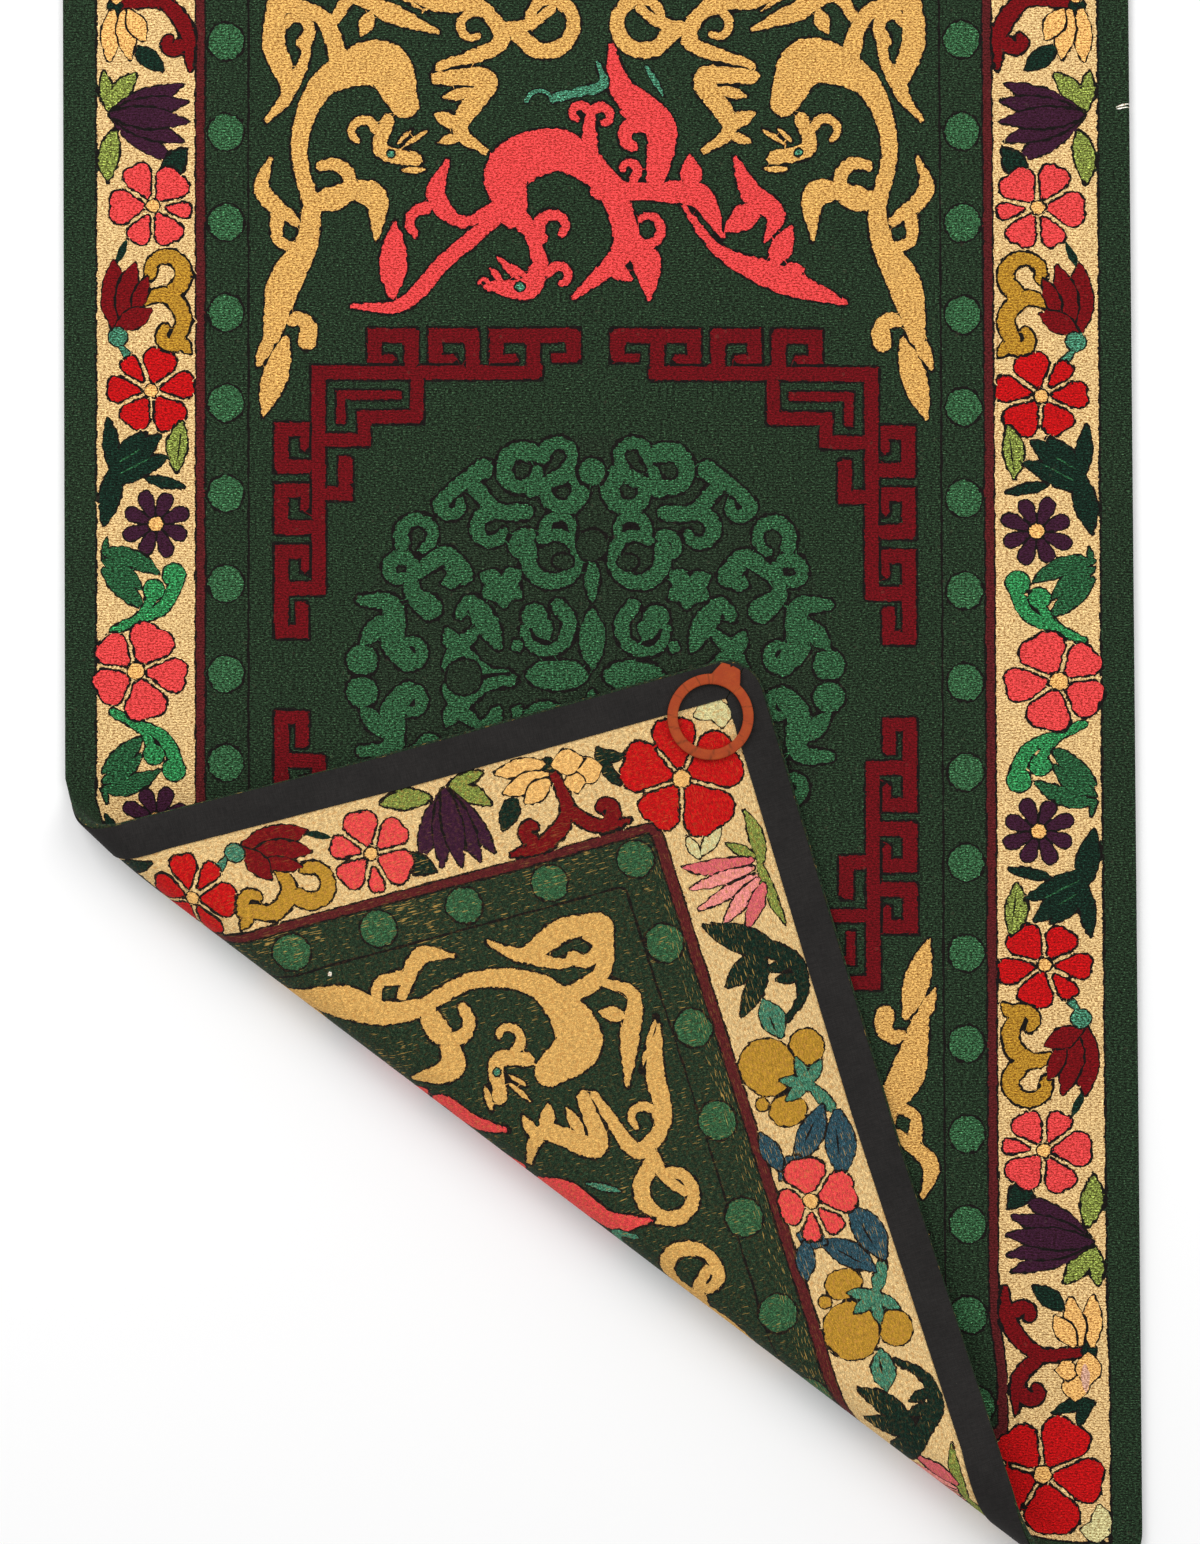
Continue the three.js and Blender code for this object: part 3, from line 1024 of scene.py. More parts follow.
@dataclass(frozen=True)
class Fold:
    """The fold of the lower left corner, with the sizes of the CAD model.

    A flat point is known by how far it lies across the fold line and how far beyond the line where
    the sheet leaves the floor. The sheet turns over a half round of the roll radius, pressed in a
    little, slopes down from its top, and bends back to level where it lies on the rug.
    """

    towards: float = math.radians(52.9)
    distance: float = 371.3 * MM
    radius: float = 26.5 * MM
    slope: float = math.radians(16)
    landing: float = 150 * MM
    thickness: float = 7 * MM
    clearance: float = 1 * MM
    middle: float = 4.9 * MM
    pinch_depth: float = 7.3 * MM
    pinch_reach: float = 52 * MM
    pinch_end: float = -303 * MM
    press: float = 3.6 * MM

    @property
    def normal(self) -> np.ndarray:
        """The direction in which the corner was turned, on the floor."""
        return np.array((math.cos(self.towards), math.sin(self.towards)))

    @property
    def along(self) -> np.ndarray:
        """The direction of the fold line."""
        return np.array((self.normal[1], -self.normal[0]))

    @property
    def start(self) -> float:
        """Where the sheet leaves the floor, measured along the normal."""
        return -self.distance + self.radius + self.thickness / 2

    @property
    def roll_length(self) -> float:
        """Length of sheet round the roll."""
        return self.radius * (math.pi + self.slope)

    @property
    def slope_length(self) -> float:
        """Length of the straight slope down from the roll."""
        drop = self.radius * (1 + math.cos(self.slope)) - self.landing * (1 - math.cos(self.slope))
        return (drop - self.thickness - self.clearance) / math.sin(self.slope)

    @property
    def landing_length(self) -> float:
        """Length of sheet in the bend back to level."""
        return self.landing * self.slope

    def bend(self, flat: np.ndarray, offset: np.ndarray) -> tuple[np.ndarray, np.ndarray]:
        """Places flat points on the folded sheet.

        Args:
            flat: places on the flat rug, in metres.
            offset: distance of each point from the sheet's middle, towards the front.

        Returns:
            The places in space, and the directions that the rug's front faces there.
        """
        across = flat @ self.along
        beyond = np.maximum(self.start - flat @ self.normal, 0)
        turn = np.minimum(beyond, self.roll_length) / self.radius
        sloped = np.clip(beyond - self.roll_length, 0, self.slope_length)
        bent = np.clip(beyond - self.roll_length - self.slope_length, 0, self.landing_length)
        level = np.maximum(beyond - self.roll_length - self.slope_length - self.landing_length, 0)
        back = bent / self.landing
        run = -self.radius * np.sin(turn) + sloped * math.cos(self.slope) + level
        run += self.landing * (math.sin(self.slope) - np.sin(self.slope - back))
        height = self.radius * (1 - np.cos(turn)) - sloped * math.sin(self.slope)
        height -= self.landing * (np.cos(self.slope - back) - math.cos(self.slope))
        angle = turn - back
        drawn = self.press + np.exp(-(((across - self.pinch_end) / self.pinch_reach) ** 2)) * self.pinch_depth
        drawn = drawn * np.sin(np.minimum(turn, math.pi))
        flat_run = self.start + run + drawn + offset * np.sin(angle)
        place = np.where(beyond > 0, flat_run, flat @ self.normal)
        floor = across[:, None] * self.along + place[:, None] * self.normal
        points = np.column_stack((floor, self.middle + height + offset * np.cos(angle)))
        facing = np.column_stack((np.sin(angle)[:, None] * self.normal, np.cos(angle)))
        return points, facing

    def rows(self) -> np.ndarray:
        """Distances beyond the fold's start where the sheet needs a row of points."""
        roll = np.linspace(0, self.roll_length, 23)
        flat_end = self.roll_length + self.slope_length
        landing = np.linspace(flat_end, flat_end + self.landing_length, 6)
        return np.concatenate((roll, landing))


@dataclass(frozen=True)
class Outline:
    """The rug's flat outline: four corners, in metres, rounded."""

    corners: tuple = (
        (-460.5 * MM, -748 * MM),
        (465 * MM, -763 * MM),
        (451 * MM, 763 * MM),
        (-465 * MM, 759 * MM),
    )
    radius: float = 34 * MM
    steps: int = 10

    def sides(self, inset: float) -> list[tuple[np.ndarray, np.ndarray, np.ndarray]]:
        """Each side moved in by an inset, as a point, its direction and its inward normal."""
        found = []
        for i, corner in enumerate(self.corners):
            start = np.array(corner)
            run = np.array(self.corners[(i + 1) % 4]) - start
            run = run / np.hypot(*run)
            inward = np.array((-run[1], run[0]))
            found.append((start + inward * inset, run, inward))
        return found

    def crossing(self, first: tuple, second: tuple) -> np.ndarray:
        """Where two sides meet."""
        offset = second[0] - first[0]
        run = first[1]
        other = second[1]
        share = (offset[0] * other[1] - offset[1] * other[0]) / (run[0] * other[1] - run[1] * other[0])
        return first[0] + run * share

    def rounded(self, inset: float) -> np.ndarray:
        """The outline moved in by an inset, with rounded corners."""
        lines = self.sides(inset)
        radius = self.radius - inset
        points = []
        for i, line in enumerate(lines):
            before = lines[i - 1]
            tip = self.crossing(before, line)
            half = (math.pi - math.acos(before[1] @ line[1])) / 2
            middle = before[2] + line[2]
            centre = tip + middle / np.hypot(*middle) * radius / math.sin(half)
            begin = math.atan2(-before[2][1], -before[2][0])
            turns = begin + np.linspace(0, math.pi - 2 * half, self.steps + 1)
            points.append(centre + radius * np.column_stack((np.cos(turns), np.sin(turns))))
        return np.vstack(points)


def add_mesh(name: str, points: np.ndarray, faces: Sequence) -> bpy.types.Object:
    """Makes a mesh object at the origin from points and faces."""
    mesh = bpy.data.meshes.new(name)
    if isinstance(faces, np.ndarray):
        mesh.vertices.add(len(points))
        mesh.vertices.foreach_set("co", points.ravel())
        corners = faces.shape[1]
        mesh.loops.add(faces.size)
        mesh.loops.foreach_set("vertex_index", faces.ravel())
        mesh.polygons.add(len(faces))
        mesh.polygons.foreach_set("loop_start", np.arange(len(faces)) * corners)
        mesh.update(calc_edges=True)
    else:
        mesh.from_pydata([tuple(p) for p in points], [], faces)
    piece = bpy.data.objects.new(name, mesh)
    bpy.context.collection.objects.link(piece)
    return piece


def set_layer(mesh: bpy.types.Mesh, name: str, values: np.ndarray) -> None:
    """Writes a UV map with a value for each vertex, spread to the face corners."""
    corners = np.empty(len(mesh.loops), int)
    mesh.loops.foreach_get("vertex_index", corners)
    layer = mesh.uv_layers.new(name=name)
    layer.uv.foreach_set("vector", values[corners].ravel())


class FoldedCloth:
    """A flat-cut cloth laid over the fold as one closed mesh with a rounded rim."""

    RIM_ROWS = 6

    def __init__(self, fold: Fold, low: float, high: float, rim: float) -> None:
        """Keeps the fold, the two faces' offsets from the rug's middle, and the rim's width."""
        self.fold = fold
        self.low = low
        self.high = high
        self.rim = rim

    def cut(self, edge: np.ndarray, points: np.ndarray, pairs: np.ndarray) -> tuple[np.ndarray, np.ndarray]:
        """Cuts the flat cloth into triangles, with rows of points where the fold bends it.

        Args:
            edge: the cloth's outline inside its rim, in chart squares.
            points: further points, in chart squares.
            pairs: the edges between those points that the triangles keep to.

        Returns:
            Flat points in chart squares, and triangles that face the front.
        """
        lines, line_pairs = self.fold_lines()
        stacks = [edge, points, lines]
        starts = np.cumsum([0] + [len(s) for s in stacks])
        ring = np.arange(len(edge))
        every_pair = [np.column_stack((ring, np.roll(ring, -1))), pairs + starts[1], line_pairs + starts[2]]
        every = np.vstack(stacks)
        listed = [tuple(map(int, p)) for p in np.vstack(every_pair)]
        verts, _, faces, *_ = delaunay_2d_cdt([tuple(p) for p in every], listed, [], 0, 0.02, False)
        flat = np.array([tuple(v) for v in verts])
        triangles = np.array(faces)
        a, b, c = (flat[triangles[:, k]] for k in range(3))
        area = (b[:, 0] - a[:, 0]) * (c[:, 1] - a[:, 1]) - (b[:, 1] - a[:, 1]) * (c[:, 0] - a[:, 0])
        kept = inside((a + b + c) / 3, edge) & (np.abs(area) > 1e-7)
        triangles, area = triangles[kept], area[kept]
        triangles[area > 0] = triangles[area > 0][:, ::-1]
        used, index = np.unique(triangles, return_inverse=True)
        return flat[used], index.reshape(-1, 3)

    def fold_lines(self) -> tuple[np.ndarray, np.ndarray]:
        """Lines of points along the fold, where the cloth bends, and the edges between them."""
        along = np.arange(-0.62, 0.75, 0.016)
        points = []
        pairs = []
        for beyond in self.fold.rows():
            flat = along[:, None] * self.fold.along + (self.fold.start - beyond) * self.fold.normal
            first = len(points) * len(along)
            points.append(flat_to_chart(flat))
            steps = np.arange(len(along) - 1) + first
            pairs.append(np.column_stack((steps, steps + 1)))
        return np.vstack(points), np.vstack(pairs)

    def close(self, front: "Cut", back: "Cut") -> "ClosedCloth":
        """Folds the two faces and joins them with a rounded rim.

        The rim's rows stand out from the edge by the rim's width times the cosine of an angle, and
        from the middle by half the thickness times its sine.
        """
        count = len(front.points)
        middle, half = (self.low + self.high) / 2, (self.high - self.low) / 2
        upper, facing = self.fold.bend(front.points, np.full(count, self.high))
        lower, facing_back = self.fold.bend(back.points, np.full(len(back.points), self.low))
        border, owners = front.border()
        edge = np.unique(border)
        back_edge = np.unique(back.border()[0])
        apart = front.points[edge][:, None] - back.points[back_edge][None]
        match = back_edge[np.argmin(np.hypot(apart[..., 0], apart[..., 1]), axis=1)]
        place = np.full(count, -1)
        place[edge] = np.arange(len(edge))
        run = front.points[border[:, 1]] - front.points[border[:, 0]]
        away = np.column_stack((run[:, 1], -run[:, 0]))
        out = np.zeros((count, 2))
        np.add.at(out, border[:, 0], away)
        np.add.at(out, border[:, 1], away)
        out = out[edge] / np.hypot(*out[edge].T)[:, None]
        points, flats, normals = [upper, lower], [front.points, back.points], [facing, -facing_back]
        chain = [edge]
        total = count + len(back.points)
        for k in range(1, self.RIM_ROWS):
            angle = math.pi * (0.5 - k / self.RIM_ROWS)
            wide = front.points[edge] + out * self.rim * math.cos(angle)
            offset = np.full(len(edge), middle + half * math.sin(angle))
            spot, up = self.fold.bend(wide, offset)
            beside, _ = self.fold.bend(wide + out * 1e-4, offset)
            sideways = (beside - spot) / np.linalg.norm(beside - spot, axis=1)[:, None]
            points.append(spot)
            flats.append(wide)
            normals.append(up * math.sin(angle) + sideways * math.cos(angle))
            chain.append(total + (k - 1) * len(edge) + np.arange(len(edge)))
        chain.append(match + count)
        a, b = place[border[:, 0]], place[border[:, 1]]
        faces, sides = [front.triangles, back.triangles[:, ::-1] + count], [0.0, 1.0]
        yarns = [front.yarns, back.yarns]
        for k in range(self.RIM_ROWS):
            above, below = chain[k], chain[k + 1]
            faces.append(np.column_stack((above[b], above[a], below[a])))
            faces.append(np.column_stack((above[b], below[a], below[b])))
            sides += [0.0 if k < self.RIM_ROWS // 2 else 1.0] * 2
            yarns += [front.yarns[owners]] * 2
        side = np.concatenate([np.full(len(f), value) for f, value in zip(faces, sides)])
        stacks = [np.vstack(s) for s in (points, flats, normals, faces)]
        return ClosedCloth(*stacks, side, np.concatenate(yarns))


@dataclass(frozen=True)
class Cut:
    """One face of a cloth, cut flat.

    Args:
        points: places on the flat rug, in metres.
        triangles: faces that look to the front.
        yarns: the number of each triangle's yarn.
    """

    points: np.ndarray
    triangles: np.ndarray
    yarns: np.ndarray

    def border(self) -> tuple[np.ndarray, np.ndarray]:
        """The edges that only one triangle has, and those triangles."""
        corners = self.triangles
        directed = np.vstack([corners[:, [0, 1]], corners[:, [1, 2]], corners[:, [2, 0]]])
        _, first, times = np.unique(np.sort(directed, axis=1), axis=0, return_index=True, return_counts=True)
        single = first[times == 1]
        return directed[single], np.tile(np.arange(len(corners)), 3)[single]


@dataclass(frozen=True)
class ClosedCloth:
    """A closed cloth mesh as arrays.

    Args:
        points: places in space.
        flats: each point's place on the flat rug, in metres.
        normals: the direction each point faces.
        faces: the triangles.
        side: 0 for each face of the front, 1 for the back.
        yarns: the number of each face's yarn.
    """

    points: np.ndarray
    flats: np.ndarray
    normals: np.ndarray
    faces: np.ndarray
    side: np.ndarray
    yarns: np.ndarray

    def build(self, name: str, flats: np.ndarray) -> bpy.types.Object:
        """Makes the mesh object, with its flat places and its sides as attributes.

        Args:
            name: the piece's name.
            flats: the place that the material reads at each point, in metres.
        """
        piece = add_mesh(name, self.points, self.faces)
        mesh = piece.data
        set_layer(mesh, "Flat", flats)
        side = mesh.attributes.new("Back", "FLOAT", "FACE")
        side.data.foreach_set("value", self.side)
        self.bake_map(mesh)
        mesh.polygons.foreach_set("use_smooth", np.ones(len(self.faces), bool))
        mesh.normals_split_custom_set_from_vertices([tuple(n) for n in self.normals])
        mesh.update()
        log.info("%s: %d points, %d triangles", name, len(self.points), len(self.faces))
        return piece

    def bake_map(self, mesh: bpy.types.Mesh) -> None:
        """Lays front and back side by side in one square."""
        corners = self.faces.ravel()
        back = np.repeat(self.side, 3)
        low = self.flats.min(axis=0)
        size = np.ptp(self.flats, axis=0)
        if size[0] > size[1]:
            local = (self.flats - low)[:, ::-1]
        else:
            local = self.flats - low
        width, length = sorted(size)
        unit = max(2 * width + 0.02, length + 0.01)
        spot = local[corners] / unit
        spot[:, 0] = np.where(back > 0.5, 0.5 + spot[:, 0], spot[:, 0] + 0.002)
        layer = mesh.uv_layers.new(name="OFBake")
        layer.uv.foreach_set("vector", spot.ravel())


class RugSheet(FoldedCloth):
    """The hooked sheet with its pattern.

    Front and back each have their own cut of the chart, whose edges are where two yarns meet. A
    face's hidden parts are cut more coarsely.
    """

    RIM = 2.6 * MM
    CELL = 40.0

    def __init__(self, fold: Fold, outline: Outline) -> None:
        """Keeps what the sheet is made of."""
        super().__init__(fold, -fold.thickness / 2, fold.thickness / 2, self.RIM)
        self.outline = outline

    def shows(self, points: np.ndarray, back: bool) -> np.ndarray:
        """Whether chart points of the front or of the back are seen from above.

        The back shows where the corner is turned over. The front shows elsewhere, apart from where
        the turned corner covers it, which is where a point's mirror image in the fold is on the rug.
        """
        flat = chart_to_flat(points)
        beyond = self.fold.start - flat @ self.fold.normal
        crest = self.fold.roll_length / 2
        if back:
            return beyond > 0.5 * crest
        mirrored = flat + 2 * (beyond - crest)[:, None] * self.fold.normal
        covered = inside(mirrored, np.array(self.outline.corners))
        return (beyond < 1.3 * crest) & ~covered

    def face(self, edge: np.ndarray, back: bool) -> Cut:
        """Cuts one face of the sheet along its pattern."""
        chart = Chart(lambda points: self.shows(points, back))
        points, pairs = chart.edges()
        flat, triangles = self.cut(edge, np.vstack((points, self.loose_points())), pairs)
        name = "back" if back else "front"
        log.info("%s: %d outlines, %d triangles", name, len(chart.layers), len(triangles))
        return Cut(chart_to_flat(flat), triangles, chart.yarns(flat[triangles].mean(axis=1)))

    def loose_points(self) -> np.ndarray:
        """A grid of points that keeps large plain areas from being cut too long."""
        x, y = np.meshgrid(np.arange(80, 1130, self.CELL), np.arange(-180, 1560, self.CELL))
        grid = np.column_stack((x.ravel(), y.ravel()))
        return grid + np.random.default_rng(5).uniform(-5, 5, grid.shape)

    def build(self) -> bpy.types.Object:
        """Folds the cut sheet into a closed mesh and stores its yarns."""
        edge = flat_to_chart(resample(self.outline.rounded(self.RIM), 6 * MM))
        cloth = self.close(self.face(edge, False), self.face(edge, True))
        piece = cloth.build("hooked_rug", cloth.flats)
        table = np.array([y.linear + (1.0,) for y in Yarn])
        layer = piece.data.color_attributes.new("Yarn", "FLOAT_COLOR", "CORNER")
        layer.data.foreach_set("color", np.repeat(table[cloth.yarns], 3, axis=0).ravel())
        first, second, across = self.beside_lines(cloth)
        for name, yarns in (("First yarn", first), ("Second yarn", second)):
            layer = piece.data.attributes.new(name, "FLOAT_COLOR", "FACE")
            layer.data.foreach_set("color", table[yarns].ravel())
        layer = piece.data.attributes.new("Across", "FLOAT", "CORNER")
        layer.data.foreach_set("value", across.ravel())
        return piece

    def beside_lines(self, cloth: ClosedCloth) -> tuple[np.ndarray, np.ndarray, np.ndarray]:
        """Finds what lies on the two sides of the dark lines, whose faces reach from side to side.

        A corner's own yarn is that of the faces round it that aren't dark. Where a dark face has
        corners of two yarns, those of the first are at 0 across the line and those of the second at 1.

        Args:
            cloth: the folded sheet.

        Returns:
            The number of the first and of the second yarn for each face, and the place across the
            line of each face's corners; a face with no two sides has its own yarn twice, and 0.5.
        """
        dark = cloth.yarns == list(Yarn).index(Yarn.BLACK)
        own = np.full(len(cloth.points), -1)
        own[cloth.faces[~dark].ravel()] = np.repeat(cloth.yarns[~dark], 3)
        corners = own[cloth.faces]
        first = corners.max(axis=1)
        second = np.where(corners < 0, len(Yarn), corners).min(axis=1)
        lined = dark & (first >= 0) & (second < first)
        place = (corners != first[:, None]).astype(float)
        across = np.where(lined[:, None] & (corners >= 0), place, 0.5)
        return np.where(lined, first, cloth.yarns), np.where(lined, second, cloth.yarns), across


@dataclass(frozen=True)
class Tape:
    """The cotton tape sewn along the back of each side, mitred at the corners."""

    width: float = 31 * MM
    thickness: float = 1 * MM
    inset: float = 2 * MM
    gap: float = 0.4 * MM
    rim: float = 0.4 * MM

    def strip(self, outline: Outline, side: int) -> np.ndarray:
        """The flat outline of the strip along one side, in metres."""
        outer, inner = outline.sides(self.inset), outline.sides(self.inset + self.width)
        before, after = (side + 3) % 4, (side + 1) % 4
        start = outline.crossing(inner[before], inner[side])
        end = outline.crossing(inner[side], inner[after])
        points = clip(outline.rounded(self.inset), inner[side][0], -inner[side][2])
        first_tip = outline.crossing(outer[before], outer[side])
        last_tip = outline.crossing(outer[side], outer[after])
        corners = ((start, first_tip, 1), (end, last_tip, -1))
        for foot, head, sign in corners:
            mitre = (head - foot) / np.hypot(*(head - foot))
            normal = np.array((mitre[1], -mitre[0]))
            normal = normal * math.copysign(1, normal @ inner[side][1]) * sign
            points = clip(points, foot + normal * self.gap, normal)
        return points

    def build(self, fold: Fold, outline: Outline, side: int, name: str) -> bpy.types.Object:
        """Makes one strip; its material reads places along and across the tape."""
        high = -fold.thickness / 2 - self.gap
        cloth = FoldedCloth(fold, high - self.thickness, high, self.rim)
        strip = resample(self.strip(outline, side), 5 * MM)
        edge = flat_to_chart(strip - outward(strip) * self.rim)
        flat, triangles = cloth.cut(edge, np.zeros((0, 2)), np.zeros((0, 2), int))
        face = Cut(chart_to_flat(flat), triangles, np.zeros(len(triangles), int))
        closed = cloth.close(face, face)
        _, run, inward = outline.sides(self.inset)[side]
        return closed.build(name, np.column_stack((closed.flats @ run, closed.flats @ inward)))


def clip(points: np.ndarray, spot: np.ndarray, normal: np.ndarray) -> np.ndarray:
    """The part of a convex outline on the side of a line that its normal points to."""
    after = np.roll(points, -1, axis=0)
    here = (points - spot) @ normal
    there = (after - spot) @ normal
    kept = []
    for point, following, a, b in zip(points, after, here, there):
        if a >= 0:
            kept.append(point)
        if a * b < 0:
            kept.append(point + (following - point) * a / (a - b))
    return np.array(kept)


@dataclass(frozen=True)
class HangingRing:
    """The flat hoop at the turned corner, with a notched boss on its rim.

    Each cross-section is a flattened oval between the hole and the rim, and the rim's distance from
    the centre grows over the boss as its outline does.
    """

    x: float = 92.5 * MM
    y: float = -25.4 * MM
    bottom: float = 18.1 * MM
    thickness: float = 4.4 * MM
    outer: float = 37 * MM
    inner: float = 28 * MM
    turn: float = 67.7
    steps: int = 420
    around: int = 18

    BOSS = ((13.0, 34.6), (12.2, 37.6), (8.8, 46.2), (7.6, 47.1), (1.4, 47.8), (0.0, 46.0))
    # Each cross line: its turn from the boss, how wide it is and how much it leans, in degrees
    CRACKS = (
        (22, 0.8, 2), (52, 0.7, 4), (76, 0.8, 6), (102, 0.7, 8), (127, 1.9, 9), (155, 1.9, 8), (184, 2.0, 7),
        (206, 1.8, 9), (231, 1.3, 8), (249, 0.8, 4), (280, 0.9, 2), (297, 1.0, 0), (319, 0.8, -3),
        (335, 0.9, 0), (341, 0.9, 2),
    )

    def rim(self, turns: np.ndarray) -> np.ndarray:
        """Distance of the rim from the centre, by the turn from the boss's middle in radians."""
        half = np.array(self.BOSS)[::-1] * MM
        dense = np.column_stack([np.interp(np.linspace(0, 5, 200), range(6), half[:, k]) for k in range(2)])
        angles = np.arctan2(dense[:, 0], dense[:, 1])
        away = np.abs((turns + math.pi) % (2 * math.pi) - math.pi)
        return np.maximum(np.interp(away, angles, np.hypot(*dense.T), right=self.outer), self.outer)

    def build(self) -> bpy.types.Object:
        """Makes the hoop, with the darkness of its cracks and its smudges on each point."""
        turns = np.linspace(0, 2 * math.pi, self.steps, endpoint=False)
        section = np.linspace(0, 2 * math.pi, self.around, endpoint=False)
        squareness = 0.42
        flat = np.sign(np.cos(section)) * np.abs(np.cos(section)) ** squareness
        high = np.sign(np.sin(section)) * np.abs(np.sin(section)) ** squareness
        rim = self.rim(turns)[:, None]
        reach = (rim + self.inner) / 2 + (rim - self.inner) / 2 * flat
        angle = np.radians(self.turn) - turns[:, None] + 0 * reach
        z = self.bottom + self.thickness / 2 * (1 + high) + 0 * reach
        points = np.stack((self.x + reach * np.cos(angle), self.y + reach * np.sin(angle), z), axis=-1)
        i = np.arange(self.steps)[:, None]
        j = np.arange(self.around)[None, :]
        next_i, next_j = (i + 1) % self.steps, (j + 1) % self.around
        corners = [a * self.around + b for a, b in ((i, j), (next_i, j), (next_i, next_j), (i, next_j))]
        grids = [np.broadcast_to(c, (self.steps, self.around)) for c in corners]
        faces = np.stack(grids, axis=-1).reshape(-1, 4)
        piece = add_mesh("hanging_ring", points.reshape(-1, 3), faces)
        piece.data.polygons.foreach_set("use_smooth", np.ones(len(faces), bool))
        share = (reach - self.inner) / (self.outer - self.inner)
        mark = self.cracks(np.degrees(turns)[:, None] + 0 * reach, share)
        layer = piece.data.attributes.new("Crack", "FLOAT", "POINT")
        layer.data.foreach_set("value", mark.ravel())
        piece.data.update()
        return piece

    def cracks(self, turns: np.ndarray, across: np.ndarray) -> np.ndarray:
        """Darkness of the fine cross lines: each leans a little and fades from its middle."""
        noise = np.random.default_rng(3)
        dark = np.zeros(turns.shape)
        for turn, wide, lean in self.CRACKS:
            deep, bend = noise.uniform(0.5, 0.9), noise.uniform(-1.2, 1.2)
            away = turns - turn - lean * (across - 0.5) - bend * np.sin(across * 5)
            dark = np.maximum(dark, deep * np.exp(-((away / wide) ** 2)))
        return dark


# Materials


class NodeSheet:
    """Short calls for laying out shader nodes in a material or a group."""

    def __init__(self, tree: bpy.types.NodeTree) -> None:
        """Keeps the tree."""
        self.tree = tree

    def add(self, kind: str, **settings) -> bpy.types.Node:
        """Adds a node and sets its properties."""
        node = self.tree.nodes.new(kind)
        for key, value in settings.items():
            setattr(node, key, value)
        return node

    def put(self, value: Signal, socket: bpy.types.NodeSocket) -> None:
        """Links a socket to another, or sets it to a constant."""
        if isinstance(value, bpy.types.NodeSocket):
            self.tree.links.new(value, socket)
        elif isinstance(value, tuple) and len(value) == 3 and len(socket.default_value) == 4:
            socket.default_value = (*value, 1.0)
        else:
            socket.default_value = value

    def math(
        self, operation: str, a: Signal, b: Signal = 0.0, c: Signal = 0.0, clamp: bool = False
    ) -> bpy.types.NodeSocket:
        """A math node on numbers or sockets."""
        node = self.add("ShaderNodeMath", operation=operation, use_clamp=clamp)
        for value, socket in zip((a, b, c), node.inputs):
            self.put(value, socket)
        return node.outputs[0]

    def ramp(
        self, value: Signal, low: float, high: float, to_low: float = 0.0, to_high: float = 1.0
    ) -> bpy.types.NodeSocket:
        """Maps a value smoothly from one range to another, held at the ends."""
        node = self.add("ShaderNodeMapRange", interpolation_type="SMOOTHSTEP")
        for key, item in zip(range(5), (value, low, high, to_low, to_high)):
            self.put(item, node.inputs[key])
        return node.outputs[0]

    def mix(self, share: Signal, first: Signal, second: Signal, blend: str = "MIX") -> bpy.types.NodeSocket:
        """Mixes two colours."""
        node = self.add("ShaderNodeMix", data_type="RGBA", blend_type=blend)
        self.put(share, node.inputs[0])
        self.put(first, node.inputs[6])
        self.put(second, node.inputs[7])
        return node.outputs[2]

    def noise(
        self, vector: Signal, scale: float, detail: float = 2.0, rough: float = 0.5
    ) -> bpy.types.NodeSocket:
        """A noise value at a scale of so many features a metre."""
        node = self.add("ShaderNodeTexNoise", noise_dimensions="3D")
        self.put(vector, node.inputs["Vector"])
        self.put(scale, node.inputs["Scale"])
        self.put(detail, node.inputs["Detail"])
        self.put(rough, node.inputs["Roughness"])
        return node.outputs["Fac"]

    def sway(self, vector: Signal, scale: float, reach: float) -> bpy.types.NodeSocket:
        """Pushes a position about by a soft noise; reach is the noise's full width in metres."""
        noise = self.add("ShaderNodeTexNoise", noise_dimensions="2D")
        self.put(vector, noise.inputs["Vector"])
        self.put(scale, noise.inputs["Scale"])
        node = self.add("ShaderNodeVectorMath", operation="MULTIPLY_ADD")
        self.put(noise.outputs["Color"], node.inputs[0])
        node.inputs[1].default_value = (reach, reach, 0.0)
        self.put(vector, node.inputs[2])
        return node.outputs[0]

    def stretch(
        self, vector: Signal, scale: tuple[float, float, float], turn: float = 0.0
    ) -> bpy.types.NodeSocket:
        """Scales and turns a position."""
        node = self.add("ShaderNodeMapping")
        self.put(vector, node.inputs["Vector"])
        self.put(scale, node.inputs["Scale"])
        self.put((0.0, 0.0, turn), node.inputs["Rotation"])
        return node.outputs[0]


def new_group(
    name: str, inputs: Sequence[tuple[str, str, object]], outputs: Sequence[tuple[str, str]]
) -> tuple:
    """Makes an empty shader group with named sockets.

    Args:
        name: the group's name.
        inputs: name, socket kind and default of each input.
        outputs: name and socket kind of each output.

    Returns:
        The group, its sheet, its input node and its output node.
    """
    group = bpy.data.node_groups.new(name, "ShaderNodeTree")
    for label, kind, default in inputs:
        socket = group.interface.new_socket(label, in_out="INPUT", socket_type=f"NodeSocket{kind}")
        if default is not None:
            socket.default_value = default
    for label, kind in outputs:
        group.interface.new_socket(label, in_out="OUTPUT", socket_type=f"NodeSocket{kind}")
    sheet = NodeSheet(group)
    return group, sheet, sheet.add("NodeGroupInput"), sheet.add("NodeGroupOutput")


